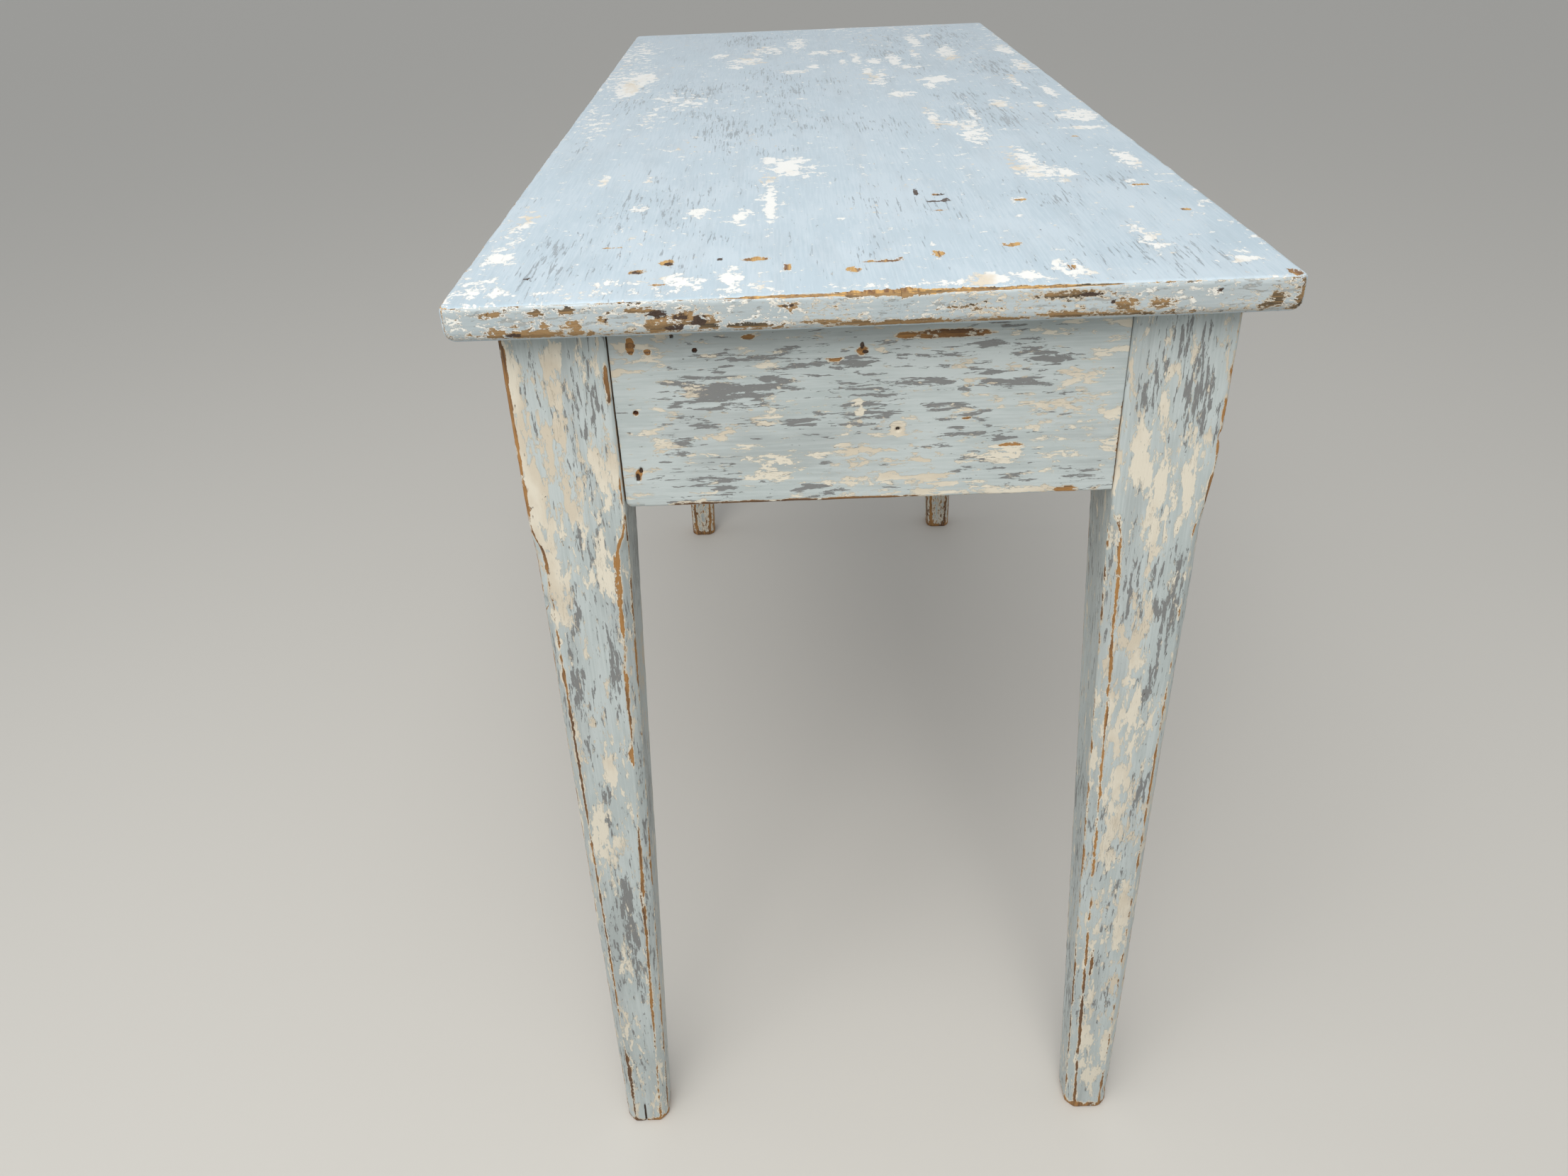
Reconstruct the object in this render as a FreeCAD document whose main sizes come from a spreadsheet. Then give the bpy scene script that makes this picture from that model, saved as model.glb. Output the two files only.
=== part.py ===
import FreeCAD, Part
import os
import Sketcher

# An old farmhouse work table: a two-board top on four tapered legs, joined by four aprons.
# X runs across the table, Y along it and Z up. The origin is on the floor under the middle of the top.
# "Near" is the -Y end, "far" the +Y end, "left" the -X side and "right" the +X side.

DIMENSIONS = {
    "table_length": 1200,
    "table_width": 490,
    "table_height": 780,
    "board_thickness": 22,
    "board_joint": 16,  # the joint between the two boards lies this far to the right of the middle
    "top_round": 3,  # upper edges of the top
    "end_round": 6,  # lower edges at the two ends
    "side_round": 12,  # lower edges along the two sides
    "overhang": 25,
    "leg_width": 64,  # a leg's head, square in section
    "foot_width": 37,
    "leg_chamfer": 7,
    "leg_arris": 1,  # the leg's corners above the stopped chamfers
    "stop_gap": 12,  # from the apron's underside down to the chamfer's stop
    "stop_length": 22,
    "apron_height": 122,
    "apron_thickness": 22,
    "apron_setback": 2,  # the apron's face lies this far behind the leg's
    "tenon_thickness": 10,
    "tenon_length": 40,
    "tenon_shoulder": 8,  # below the tenon
    "haunch_height": 25,
    "haunch_length": 8,
    "mortise_spare": 2,  # a mortise is this much longer than its tenon
    "block_width": 28,
    "block_shoulder": 6,  # a corner block stops this far above the apron's underside
    "cleat_width": 24,
    "cleat_height": 28,
    "bearer_width": 30,
    "bearer_height": 44,
    "bearer_housing": 6,  # how deep the bearer's ends are let into the side aprons
    "dowel_diameter": 8,
    "dowel_length": 36,
    "dowel_ease": 1,
    "dowel_spacing": 260,
    "nail_diameter": 2.4,
    "nail_head": 5,
    "nail_head_thickness": 1.2,
    "nail_length": 42,
    "nail_drop": 18,  # the upper row of nails, below the top's underside
    "block_nail_low": 99,  # the lowest block nail, below the top's underside
    "screw_diameter": 4.5,
    "screw_head": 8.6,
    "screw_length": 40,
    "end_nail_spacing": 104,
    "end_screw_spacing": 120,
    "side_nail_margin": 40,  # from a side cleat's ends to its first and last nails
    "side_screw_margin": 90,  # from the leg to a side cleat's first screw
    "side_screw_spacing": 170,
    "bearer_screw_spacing": 200,
    "bearer_counterbore": 18,
    "counterbore_spare": 0.7,  # round a sunk screw's head
}

# Lengths worked out from the cells above, as expressions.
UNDERSIDE = "(dimensions.table_height - dimensions.board_thickness)"
APRON_BOTTOM = f"({UNDERSIDE} - dimensions.apron_height)"
LEG_X = "(dimensions.table_width / 2 - dimensions.overhang)"
LEG_Y = "(dimensions.table_length / 2 - dimensions.overhang)"
SHOULDER_X = f"({LEG_X} - dimensions.leg_width)"
SHOULDER_Y = f"({LEG_Y} - dimensions.leg_width)"
APRON_BACK = "(dimensions.apron_setback + dimensions.apron_thickness)"
END_APRON_BACK = f"({LEG_Y} - {APRON_BACK})"
SIDE_APRON_BACK = f"({LEG_X} - {APRON_BACK})"
CLEAT_BOTTOM = f"({UNDERSIDE} - dimensions.cleat_height)"
TENON_FACE = "(dimensions.apron_setback + (dimensions.apron_thickness - dimensions.tenon_thickness) / 2)"

# Shares of the chamfer that are left at even steps up its stop: an ogee, or lamb's tongue.
STOP_SHARES = (1, 0.93, 0.74, 0.45, 0.18, 0.05)

# An edge whose middle is within this of a face counts as lying on it.
EDGE_REACH = 1

X_AXIS = FreeCAD.Vector(1, 0, 0)
Y_AXIS = FreeCAD.Vector(0, 1, 0)
Z_AXIS = FreeCAD.Vector(0, 0, 1)

SIDES = {"left": -1, "right": 1}
ENDS = {"near": -1, "far": 1}

document = FreeCAD.newDocument("work_table")
sub_parts = {}  # every finished piece by its node's name


def make_sheet():
    sheet = document.addObject("Spreadsheet::Sheet", "dimensions")
    for row, (name, value) in enumerate(DIMENSIONS.items(), start=1):
        sheet.set(f"A{row}", name)
        sheet.set(f"B{row}", str(value))
        sheet.setAlias(f"B{row}", name)
    document.recompute()


def dim(name):
    return f"dimensions.{name}"


def place(thing, x="0", y="0", z="0", rotation=None):
    """Sets an object's place by expressions, and its turn as a fixed rotation."""
    if rotation is not None:
        thing.Placement = FreeCAD.Placement(FreeCAD.Vector(), rotation)
    for axis, expression in zip("xyz", (x, y, z)):
        thing.setExpression(f"Placement.Base.{axis}", expression)


def new_body(name):
    return document.addObject("PartDesign::Body", name)


def new_sketch(body, name, plane):
    """An empty sketch on one of the body's own planes."""
    sketch = body.newObject("Sketcher::SketchObject", name)
    support = next(f for f in body.Origin.OriginFeatures if f.Role == plane)
    sketch.AttachmentSupport = (support, [""])
    sketch.MapMode = "FlatFace"
    return sketch


def pin(sketch, name, constraint, expression):
    """Adds a constraint whose size is an expression."""
    index = sketch.addConstraint(constraint)
    sketch.renameConstraint(index, name)
    sketch.setExpression(f"Constraints.{name}", expression)


def polygon(body, name, plane, corners, offset="0"):
    """A closed outline on one of the body's own planes. Each corner is a pair of expressions."""
    sketch = new_sketch(body, name, plane)
    sketch.setExpression("AttachmentOffset.Base.z", offset)
    count = len(corners)
    rough = [FreeCAD.Vector(i, i * i, 0) for i in range(count)]
    for i in range(count):
        sketch.addGeometry(Part.LineSegment(rough[i], rough[(i + 1) % count]))
    for i in range(count):
        sketch.addConstraint(Sketcher.Constraint("Coincident", i, 2, (i + 1) % count, 1))
    for i, corner in enumerate(corners):
        for axis, expression in zip("XY", corner):
            distance = Sketcher.Constraint(f"Distance{axis}", -1, 1, i, 1, 1.0)
            pin(sketch, f"{axis.lower()}{i}", distance, expression)
    return sketch


def rectangle(x0, y0, x1, y1):
    return [(x0, y0), (x1, y0), (x1, y1), (x0, y1)]


def pad(body, name, sketch, length, backwards=False):
    feature = body.newObject("PartDesign::Pad", name)
    feature.Profile = sketch
    feature.setExpression("Length", length)
    feature.Reversed = backwards
    document.recompute()
    return feature


def pocket(body, name, sketch, length, backwards=False):
    """Cuts the outline to a depth, and stops if that takes nothing away."""
    before = body.Shape.Volume
    feature = body.newObject("PartDesign::Pocket", name)
    feature.Profile = sketch
    feature.setExpression("Length", length)
    feature.Reversed = backwards
    document.recompute()
    if not body.Shape.Volume < before - 1:
        raise RuntimeError(f"{body.Label}: {name} cuts nothing")
    return feature


def fillet(body, name, radius, chooses):
    """Rounds the edges of the body's last feature whose middle points chooses accepts."""
    base = body.Tip
    names = [
        f"Edge{i}"
        for i, edge in enumerate(base.Shape.Edges, start=1)
        if chooses(edge.BoundBox.Center)
    ]
    feature = body.newObject("PartDesign::Fillet", name)
    feature.Base = (base, names)
    feature.setExpression("Radius", radius)
    document.recompute()
    return feature


# ---- The top ----


def top_board(name, side):
    """One board of the top. Its outer side and both its ends are rounded, its joint edge is square."""
    body = new_body(name)
    outer = f"{side} * {dim('table_width')} / 2"
    half_length = f"{dim('table_length')} / 2"
    corners = rectangle(dim("board_joint"), f"-{half_length}", outer, half_length)
    outline = polygon(body, f"{name}_outline", "XY_Plane", corners)
    pad(body, f"{name}_board", outline, dim("board_thickness"))

    half_x = DIMENSIONS["table_width"] / 2
    half_y = DIMENSIONS["table_length"] / 2
    top_z = DIMENSIONS["board_thickness"]

    def at_outside(middle):
        return abs(middle.x) > half_x - EDGE_REACH

    def at_end(middle):
        return abs(middle.y) > half_y - EDGE_REACH

    def is_low(middle):
        return middle.z < EDGE_REACH

    def is_high(middle):
        return middle.z > top_z - EDGE_REACH

    fillet(body, f"{name}_lower_side", dim("side_round"), lambda m: at_outside(m) and is_low(m))
    fillet(body, f"{name}_lower_ends", dim("end_round"), lambda m: at_end(m) and is_low(m))
    fillet(body, f"{name}_upper", dim("top_round"), lambda m: is_high(m) and (at_end(m) or at_outside(m)))
    place(body, z=UNDERSIDE)
    return body


# ---- The legs ----


def leg_octagon(width, chamfer):
    """A square with its corners cut off. Its two outer faces lie on the axes, so that only
    the inner two move when the width changes."""
    far = f"({width} - {chamfer})"
    return [
        ("0", chamfer),
        (chamfer, "0"),
        (far, "0"),
        (width, chamfer),
        (width, far),
        (far, width),
        (chamfer, width),
        ("0", far),
    ]


def leg_sections():
    """Heights up the leg, each with its width and its chamfer, from the foot to the head."""
    stop_top = f"({APRON_BOTTOM} - {dim('stop_gap')})"
    taper = f"({dim('leg_width')} - {dim('foot_width')}) / {APRON_BOTTOM}"
    sections = [("0", dim("foot_width"), dim("leg_chamfer"))]
    steps = len(STOP_SHARES)
    for step, share in enumerate(STOP_SHARES):
        height = f"({stop_top} - {dim('stop_length')} * {steps - step} / {steps})"
        width = f"({dim('foot_width')} + {taper} * {height})"
        chamfer = f"({dim('leg_arris')} + ({dim('leg_chamfer')} - {dim('leg_arris')}) * {share})"
        sections.append((height, width, chamfer))
    sections.append((stop_top, f"({dim('foot_width')} + {taper} * {stop_top})", dim("leg_arris")))
    sections.append((APRON_BOTTOM, dim("leg_width"), dim("leg_arris")))
    sections.append((UNDERSIDE, dim("leg_width"), dim("leg_arris")))
    return sections


def mortise(body, name, plane, mirror):
    """A haunched mortise for one apron, cut in from the leg's inner face."""
    inner = dim("leg_width")
    depth = f"({dim('tenon_length')} + {dim('mortise_spare')})"
    haunch = f"({dim('haunch_length')} + {dim('mortise_spare')})"
    low = f"({APRON_BOTTOM} + {dim('tenon_shoulder')})"
    high = f"({UNDERSIDE} - {dim('haunch_height')})"
    corners = [
        (inner, low),
        (inner, UNDERSIDE),
        (f"{inner} - {haunch}", UNDERSIDE),
        (f"{inner} - {haunch}", high),
        (f"{inner} - {depth}", high),
        (f"{inner} - {depth}", low),
    ]
    offset = f"-{TENON_FACE}" if mirror else TENON_FACE
    outline = polygon(body, f"{body.Name}_{name}_outline", plane, corners, offset)
    pocket(body, f"{body.Name}_{name}", outline, dim("tenon_thickness"), backwards=not mirror)


def leg(name, side, end):
    """A leg, drawn with its outer corner at the origin and turned to stand in its own corner.
    All four are the same piece, because a leg's two mortises are alike."""
    body = new_body(name)
    outlines = [
        polygon(body, f"{name}_section_{i}", "XY_Plane", leg_octagon(width, chamfer), height)
        for i, (height, width, chamfer) in enumerate(leg_sections())
    ]
    shaft = body.newObject("PartDesign::AdditiveLoft", f"{name}_shaft")
    shaft.Profile = outlines[0]
    shaft.Sections = outlines[1:]
    shaft.Ruled = True
    document.recompute()
    mortise(body, "end_mortise", "XZ_Plane", mirror=True)
    mortise(body, "side_mortise", "YZ_Plane", mirror=False)
    quarter_turns = {(-1, -1): 0, (1, -1): 1, (1, 1): 2, (-1, 1): 3}
    rotation = FreeCAD.Rotation(Z_AXIS, 90 * quarter_turns[side, end])
    place(body, f"{side} * {LEG_X}", f"{end} * {LEG_Y}", "0", rotation)
    sub_parts[name] = body


# ---- The aprons ----


def apron(name, half_length, turn, x="0", y="0"):
    """A board between two legs with a haunched tenon on each end. It is drawn along X
    with its outer face at y = 0 and its back towards +Y, then turned into place."""
    body = new_body(name)
    height = dim("apron_height")
    board = polygon(
        body,
        f"{name}_board_outline",
        "XZ_Plane",
        rectangle(f"-{half_length}", "0", half_length, height),
    )
    pad(body, f"{name}_board", board, dim("apron_thickness"), backwards=True)
    tenon_end = f"({half_length} + {dim('tenon_length')})"
    haunch_end = f"({half_length} + {dim('haunch_length')})"
    low = dim("tenon_shoulder")
    high = f"({height} - {dim('haunch_height')})"
    corners = [
        (f"-{tenon_end}", low),
        (tenon_end, low),
        (tenon_end, high),
        (haunch_end, high),
        (haunch_end, height),
        (f"-{haunch_end}", height),
        (f"-{haunch_end}", high),
        (f"-{tenon_end}", high),
    ]
    face = f"-({dim('apron_thickness')} - {dim('tenon_thickness')}) / 2"
    tenons = polygon(body, f"{name}_tenon_outline", "XZ_Plane", corners, face)
    pad(body, f"{name}_tenons", tenons, dim("tenon_thickness"), backwards=True)
    rotation = FreeCAD.Rotation(Z_AXIS, turn)
    place(body, x, y, APRON_BOTTOM, rotation)
    return body


def house_bearer(body):
    """Cuts the housing for the bearer's end into the back of a side apron."""
    half = f"{dim('bearer_width')} / 2"
    top = dim("apron_height")
    corners = rectangle(f"-{half}", f"{top} - {dim('bearer_height')}", half, top)
    depth = dim("bearer_housing")
    outline = polygon(
        body,
        f"{body.Name}_housing_outline",
        "XZ_Plane",
        corners,
        f"-({dim('apron_thickness')} - {depth})",
    )
    pocket(body, f"{body.Name}_housing", outline, depth)


# ---- Blocks, cleats and the bearer ----


def squared(name, low, high):
    """A plain squared piece of wood between two corners given as expressions."""
    body = new_body(name)
    lengths = [f"({b} - ({a}))" for a, b in zip(low, high)]
    outline = polygon(body, f"{name}_outline", "XY_Plane", rectangle("0", "0", *lengths[:2]))
    pad(body, f"{name}_stock", outline, lengths[2])
    place(body, *low)
    return body


def between(side, inner, outer):
    """The lower and upper of two distances from the middle, on the side given by -1 or 1."""
    return (inner, outer) if side > 0 else (f"-{outer}", f"-{inner}")


def corner_block(name, side, end):
    """A block in the corner between an end apron's back and a leg."""
    x0, x1 = between(side, f"({SHOULDER_X} - {dim('block_width')})", SHOULDER_X)
    y0, y1 = between(end, f"({END_APRON_BACK} - {dim('block_width')})", END_APRON_BACK)
    bottom = f"({APRON_BOTTOM} + {dim('block_shoulder')})"
    return squared(name, (x0, y0, bottom), (x1, y1, UNDERSIDE))


def end_cleat(name, end):
    """A strip between the two corner blocks, along the top of an end apron's back."""
    half = f"({SHOULDER_X} - {dim('block_width')})"
    y0, y1 = between(end, f"({END_APRON_BACK} - {dim('cleat_width')})", END_APRON_BACK)
    return squared(name, (f"-{half}", y0, CLEAT_BOTTOM), (half, y1, UNDERSIDE))


def side_cleat(name, side, end):
    """A strip from a leg to the bearer, along the top of a side apron's back."""
    x0, x1 = between(side, f"({SIDE_APRON_BACK} - {dim('cleat_width')})", SIDE_APRON_BACK)
    y0, y1 = between(end, f"({dim('bearer_width')} / 2)", SHOULDER_Y)
    return squared(name, (x0, y0, CLEAT_BOTTOM), (x1, y1, UNDERSIDE))


def bearer(name):
    """The rail across the middle of the table, with deep holes for its two screws."""
    half_x = f"({SIDE_APRON_BACK} + {dim('bearer_housing')})"
    half_y = f"({dim('bearer_width')} / 2)"
    bottom = f"({UNDERSIDE} - {dim('bearer_height')})"
    body = squared(name, (f"-{half_x}", f"-{half_y}", bottom), (half_x, half_y, UNDERSIDE))
    sketch = new_sketch(body, f"{name}_counterbore_outline", "XY_Plane")
    for i, side in enumerate((-1, 1)):
        circle = Part.Circle(FreeCAD.Vector(100 * (i + 1), 10, 0), Z_AXIS, 5)
        sketch.addGeometry(circle)
        x = f"{half_x} + {side} * {dim('bearer_screw_spacing')} / 2"
        pin(sketch, f"x{i}", Sketcher.Constraint("DistanceX", -1, 1, i, 3, 1.0), x)
        pin(sketch, f"y{i}", Sketcher.Constraint("DistanceY", -1, 1, i, 3, 1.0), half_y)
        radius = f"{dim('screw_head')} / 2 + {dim('counterbore_spare')}"
        pin(sketch, f"radius{i}", Sketcher.Constraint("Radius", i, 5.0), radius)
    pocket(body, f"{name}_counterbores", sketch, dim("bearer_counterbore"), backwards=True)
    return body


# ---- Fasteners ----


def turned(name, corners):
    """A piece of round section, turned about Z from half its outline."""
    body = new_body(name)
    outline = polygon(body, f"{name}_outline", "XZ_Plane", corners)
    feature = body.newObject("PartDesign::Revolution", f"{name}_turning")
    feature.Profile = outline
    feature.ReferenceAxis = (outline, ["V_Axis"])
    feature.Angle = 360
    document.recompute()
    return body


def nail_pattern():
    """One nail, its head at z = 0 and its point up."""
    shank = f"{dim('nail_diameter')} / 2"
    head = f"{dim('nail_head')} / 2"
    corners = [
        ("0", "0"),
        (head, "0"),
        (head, dim("nail_head_thickness")),
        (shank, dim("nail_head_thickness")),
        (shank, f"{dim('nail_length')} - 2 * {dim('nail_diameter')}"),
        ("0", dim("nail_length")),
    ]
    return turned("nail_pattern", corners)


def screw_pattern():
    """One countersunk wood screw, its head at z = 0 and its point up."""
    shank = f"{dim('screw_diameter')} / 2"
    head = f"{dim('screw_head')} / 2"
    corners = [
        ("0", "0"),
        (head, "0"),
        (shank, f"{head} - {shank}"),
        (shank, f"{dim('screw_length')} - 2 * {dim('screw_diameter')}"),
        ("0", dim("screw_length")),
    ]
    return turned("screw_pattern", corners)


def dowel_pattern():
    """One dowel with eased ends, its middle at the origin."""
    radius = f"{dim('dowel_diameter')} / 2"
    half = f"{dim('dowel_length')} / 2"
    ease = dim("dowel_ease")
    corners = [
        ("0", f"-{half}"),
        (f"{radius} - {ease}", f"-{half}"),
        (radius, f"{ease} - {half}"),
        (radius, f"{half} - {ease}"),
        (f"{radius} - {ease}", half),
        ("0", half),
    ]
    return turned("dowel_pattern", corners)


def group(name, pattern, spots, rotation):
    """Copies of one fastener at spots given as expressions: one node of separate solids."""
    links = []
    for i, spot in enumerate(spots):
        link = document.addObject("App::Link", f"{name}_{i}")
        link.LinkedObject = pattern
        link.LinkPlacement = FreeCAD.Placement(FreeCAD.Vector(), rotation)
        for axis, expression in zip("xyz", spot):
            link.setExpression(f"LinkPlacement.Base.{axis}", expression)
        links.append(link)
    compound = document.addObject("Part::Compound", name)
    compound.Links = links
    sub_parts[name] = compound
    return compound


def top_dowels(pattern):
    z = f"{UNDERSIDE} + {dim('board_thickness')} / 2"
    spots = [(dim("board_joint"), f"{i} * {dim('dowel_spacing')}", z) for i in (-2, -1, 0, 1, 2)]
    return group("top_dowels", pattern, spots, FreeCAD.Rotation(Y_AXIS, 90))


def end_nails(name, pattern, end):
    """The nails in an end apron: three into each corner block and three into the cleat."""
    y = f"{end} * ({LEG_Y} - {dim('apron_setback')})"
    upper = f"({UNDERSIDE} - {dim('nail_drop')})"
    lower = f"({UNDERSIDE} - {dim('block_nail_low')})"
    middle = f"({upper} + {lower}) / 2"
    block_x = f"({SHOULDER_X} - {dim('block_width')} / 2)"
    spots = [(f"{side} * {block_x}", y, z) for side in (-1, 1) for z in (upper, middle, lower)]
    spots += [(f"{i} * {dim('end_nail_spacing')}", y, upper) for i in (-1, 0, 1)]
    return group(name, pattern, spots, FreeCAD.Rotation(X_AXIS, 90 * end))


def side_nails(name, pattern, side):
    """The nails in a side apron: four into each of its two cleats."""
    x = f"{side} * ({LEG_X} - {dim('apron_setback')})"
    z = f"({UNDERSIDE} - {dim('nail_drop')})"
    margin = dim("side_nail_margin")
    step = f"({SHOULDER_Y} - 2 * {margin}) / 3"
    spots = [(x, f"{end} * ({margin} + {i} * {step})", z) for end in (-1, 1) for i in range(4)]
    return group(name, pattern, spots, FreeCAD.Rotation(Y_AXIS, -90 * side))


def upward_screws(name, pattern, spots):
    """Screws that go straight up into the top."""
    return group(name, pattern, spots, FreeCAD.Rotation())


def end_cleat_screws(pattern):
    y = f"({END_APRON_BACK} - {dim('cleat_width')} / 2)"
    x = f"{dim('end_screw_spacing')} / 2"
    spots = [(f"{side} * {x}", f"{end} * {y}", CLEAT_BOTTOM) for end in (-1, 1) for side in (-1, 1)]
    return upward_screws("end_cleat_screws", pattern, spots)


def side_cleat_screws(pattern):
    x = f"({SIDE_APRON_BACK} - {dim('cleat_width')} / 2)"
    first = f"({SHOULDER_Y} - {dim('side_screw_margin')})"
    spots = [
        (f"{side} * {x}", f"{end} * ({first} - {i} * {dim('side_screw_spacing')})", CLEAT_BOTTOM)
        for side in (-1, 1)
        for end in (-1, 1)
        for i in range(3)
    ]
    return upward_screws("side_cleat_screws", pattern, spots)


def bearer_screws(pattern):
    x = f"{dim('bearer_screw_spacing')} / 2"
    z = f"({UNDERSIDE} - {dim('bearer_height')} + {dim('bearer_counterbore')})"
    return upward_screws("bearer_screws", pattern, [(f"{side} * {x}", "0", z) for side in (-1, 1)])


def pierced(wood, fasteners):
    """The piece of wood less the room that its fasteners take up. It takes over the wood's name."""
    name = wood.Label
    wood.Label = f"{name}_blank"
    blank = wood
    for tool in fasteners:
        cut = document.addObject("Part::Cut", f"{name}_less_{tool.Name}")
        cut.Base = blank
        cut.Tool = tool
        blank = cut
    blank.Label = name
    sub_parts[name] = blank


# ---- The whole table ----


def build():
    make_sheet()
    dowels = top_dowels(dowel_pattern())
    nail = nail_pattern()
    screw = screw_pattern()
    screws = [end_cleat_screws(screw), side_cleat_screws(screw), bearer_screws(screw)]
    end_screws, side_screws, bearer_fixings = screws

    for side_name, side in SIDES.items():
        pierced(top_board(f"{side_name}_top_board", side), [dowels, *screws])

    for end_name, end in ENDS.items():
        nails = end_nails(f"{end_name}_apron_nails", nail, end)
        y = f"{end} * ({LEG_Y} - {dim('apron_setback')})"
        turn = 0 if end < 0 else 180
        pierced(apron(f"{end_name}_end_apron", SHOULDER_X, turn, "0", y), [nails])
        pierced(end_cleat(f"{end_name}_end_cleat", end), [nails, end_screws])
        for side_name, side in SIDES.items():
            name = f"{end_name}_{side_name}"
            leg(f"{name}_leg", side, end)
            pierced(corner_block(f"{name}_corner_block", side, end), [nails])

    for side_name, side in SIDES.items():
        nails = side_nails(f"{side_name}_apron_nails", nail, side)
        x = f"{side} * ({LEG_X} - {dim('apron_setback')})"
        board = apron(f"{side_name}_side_apron", SHOULDER_Y, 90 * side, x, "0")
        house_bearer(board)
        pierced(board, [nails])
        for end_name, end in ENDS.items():
            pierced(side_cleat(f"{end_name}_{side_name}_cleat", side, end), [nails, side_screws])

    pierced(bearer("cross_bearer"), [bearer_fixings])
    document.recompute()


def check_and_export():
    """Stops if any object failed, and otherwise writes one STEP file for each sub-part."""
    failed = [o.Label for o in document.Objects if {"Invalid", "Error"} & set(o.State)]
    if failed:
        raise RuntimeError(f"failed objects: {failed}")
    for name, thing in sub_parts.items():
        if thing.Shape.isNull() or not thing.Shape.isValid() or not thing.Shape.Solids:
            raise RuntimeError(f"{name} has no valid shape")
    os.makedirs("parts", exist_ok=True)
    for name, thing in sub_parts.items():
        thing.Shape.exportStep(f"parts/{name}.step")
        print(f"{name}: {len(thing.Shape.Solids)} solids, {thing.Shape.Volume / 1000:.1f} cm3")


build()
check_and_export()
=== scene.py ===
import math

import bpy
import numpy as np
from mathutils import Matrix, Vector


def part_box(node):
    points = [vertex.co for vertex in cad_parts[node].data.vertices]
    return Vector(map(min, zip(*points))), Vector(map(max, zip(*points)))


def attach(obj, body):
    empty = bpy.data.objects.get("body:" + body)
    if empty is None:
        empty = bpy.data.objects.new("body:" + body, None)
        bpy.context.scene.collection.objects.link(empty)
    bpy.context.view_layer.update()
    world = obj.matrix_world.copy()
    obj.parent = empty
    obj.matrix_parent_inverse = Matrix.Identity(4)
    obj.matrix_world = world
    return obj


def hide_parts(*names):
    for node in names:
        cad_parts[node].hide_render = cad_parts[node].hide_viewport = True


# An old painted work table, looked down on from its near end (-Y). Lengths are in metres.

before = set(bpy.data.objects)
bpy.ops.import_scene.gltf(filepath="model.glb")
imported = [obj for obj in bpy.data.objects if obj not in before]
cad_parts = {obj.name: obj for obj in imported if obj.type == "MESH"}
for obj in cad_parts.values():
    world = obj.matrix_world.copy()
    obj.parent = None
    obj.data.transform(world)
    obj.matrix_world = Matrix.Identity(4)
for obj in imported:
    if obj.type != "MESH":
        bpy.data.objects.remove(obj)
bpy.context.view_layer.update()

BODY = "root"
MM = 0.001
SIDES = {"left": -1, "right": 1}
ENDS = {"near": -1, "far": 1}

# ---- Camera, floor and light ----

CAMERA_PLACE = (-0.050, -1.247, 0.987)
CAMERA_TURN = (58.33, 2.0, -0.68)  # degrees
CAMERA_LENS = 27.13  # millimetres
SENSOR_WIDTH = 36.0  # millimetres
VIEW_REACH = 200.0

FLOOR_SIZE = 60.0
FLOOR_COLOUR = (0.56, 0.54, 0.50)
SKY_COLOUR = (0.94, 0.97, 1.0)
SKY_STRENGTH = 0.52
# Each lamp's place, size, watts and colour.
LAMPS = {
    "overhead": ((-0.4, -1.5, 2.3), 1.8, 39, (1.0, 0.99, 0.97)),
    "front_fill": ((-0.3, -2.9, 2.7), 1.8, 33, (1.0, 0.98, 0.95)),
}
LAMP_TARGET = (0, 0, 0.5)
# Weak light from the other sides: the turn that each comes from, in degrees, and its strength.
FILLS = {"left": (-90, 0.45), "right": (90, 0.20), "back": (180, 0.30)}
FILL_HEIGHT = 9  # degrees above the floor
FILL_SPREAD = 40  # degrees


def make_camera():
    data = bpy.data.cameras.new("camera")
    data.sensor_width = SENSOR_WIDTH
    data.lens = CAMERA_LENS
    data.clip_end = VIEW_REACH
    camera = bpy.data.objects.new("camera", data)
    camera.location = CAMERA_PLACE
    camera.rotation_euler = [math.radians(a) for a in CAMERA_TURN]
    bpy.context.scene.collection.objects.link(camera)
    bpy.context.scene.camera = camera


def soft_light(name, place, target, size, watts, colour):
    """A square lamp at a place, turned to face a target."""
    data = bpy.data.lights.new(name, "AREA")
    data.size = size
    data.energy = watts
    data.color = colour
    lamp = bpy.data.objects.new(name, data)
    lamp.location = place
    lamp.rotation_euler = (Vector(target) - Vector(place)).to_track_quat("-Z", "Y").to_euler()
    bpy.context.scene.collection.objects.link(lamp)


def far_light(name, turn, strength):
    """Soft, even light from one side, low enough to leave the top alone. Turned 0, it comes from
    the near end."""
    data = bpy.data.lights.new(name, "SUN")
    data.energy = strength
    data.angle = math.radians(FILL_SPREAD)
    lamp = bpy.data.objects.new(name, data)
    lamp.rotation_euler = [math.radians(a) for a in (90 - FILL_HEIGHT, 0, turn)]
    bpy.context.scene.collection.objects.link(lamp)


def make_lights():
    bpy.context.scene.view_settings.view_transform = "Standard"
    world = bpy.data.worlds.new("sky")
    world.use_nodes = True
    background = world.node_tree.nodes["Background"]
    background.inputs["Color"].default_value = (*SKY_COLOUR, 1)
    background.inputs["Strength"].default_value = SKY_STRENGTH
    bpy.context.scene.world = world
    for name, (place, size, watts, colour) in LAMPS.items():
        soft_light(name, place, LAMP_TARGET, size, watts, colour)
    for side_name, (turn, strength) in FILLS.items():
        far_light(side_name + "_fill", turn, strength)


# ---- Noise for shapes ----

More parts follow.
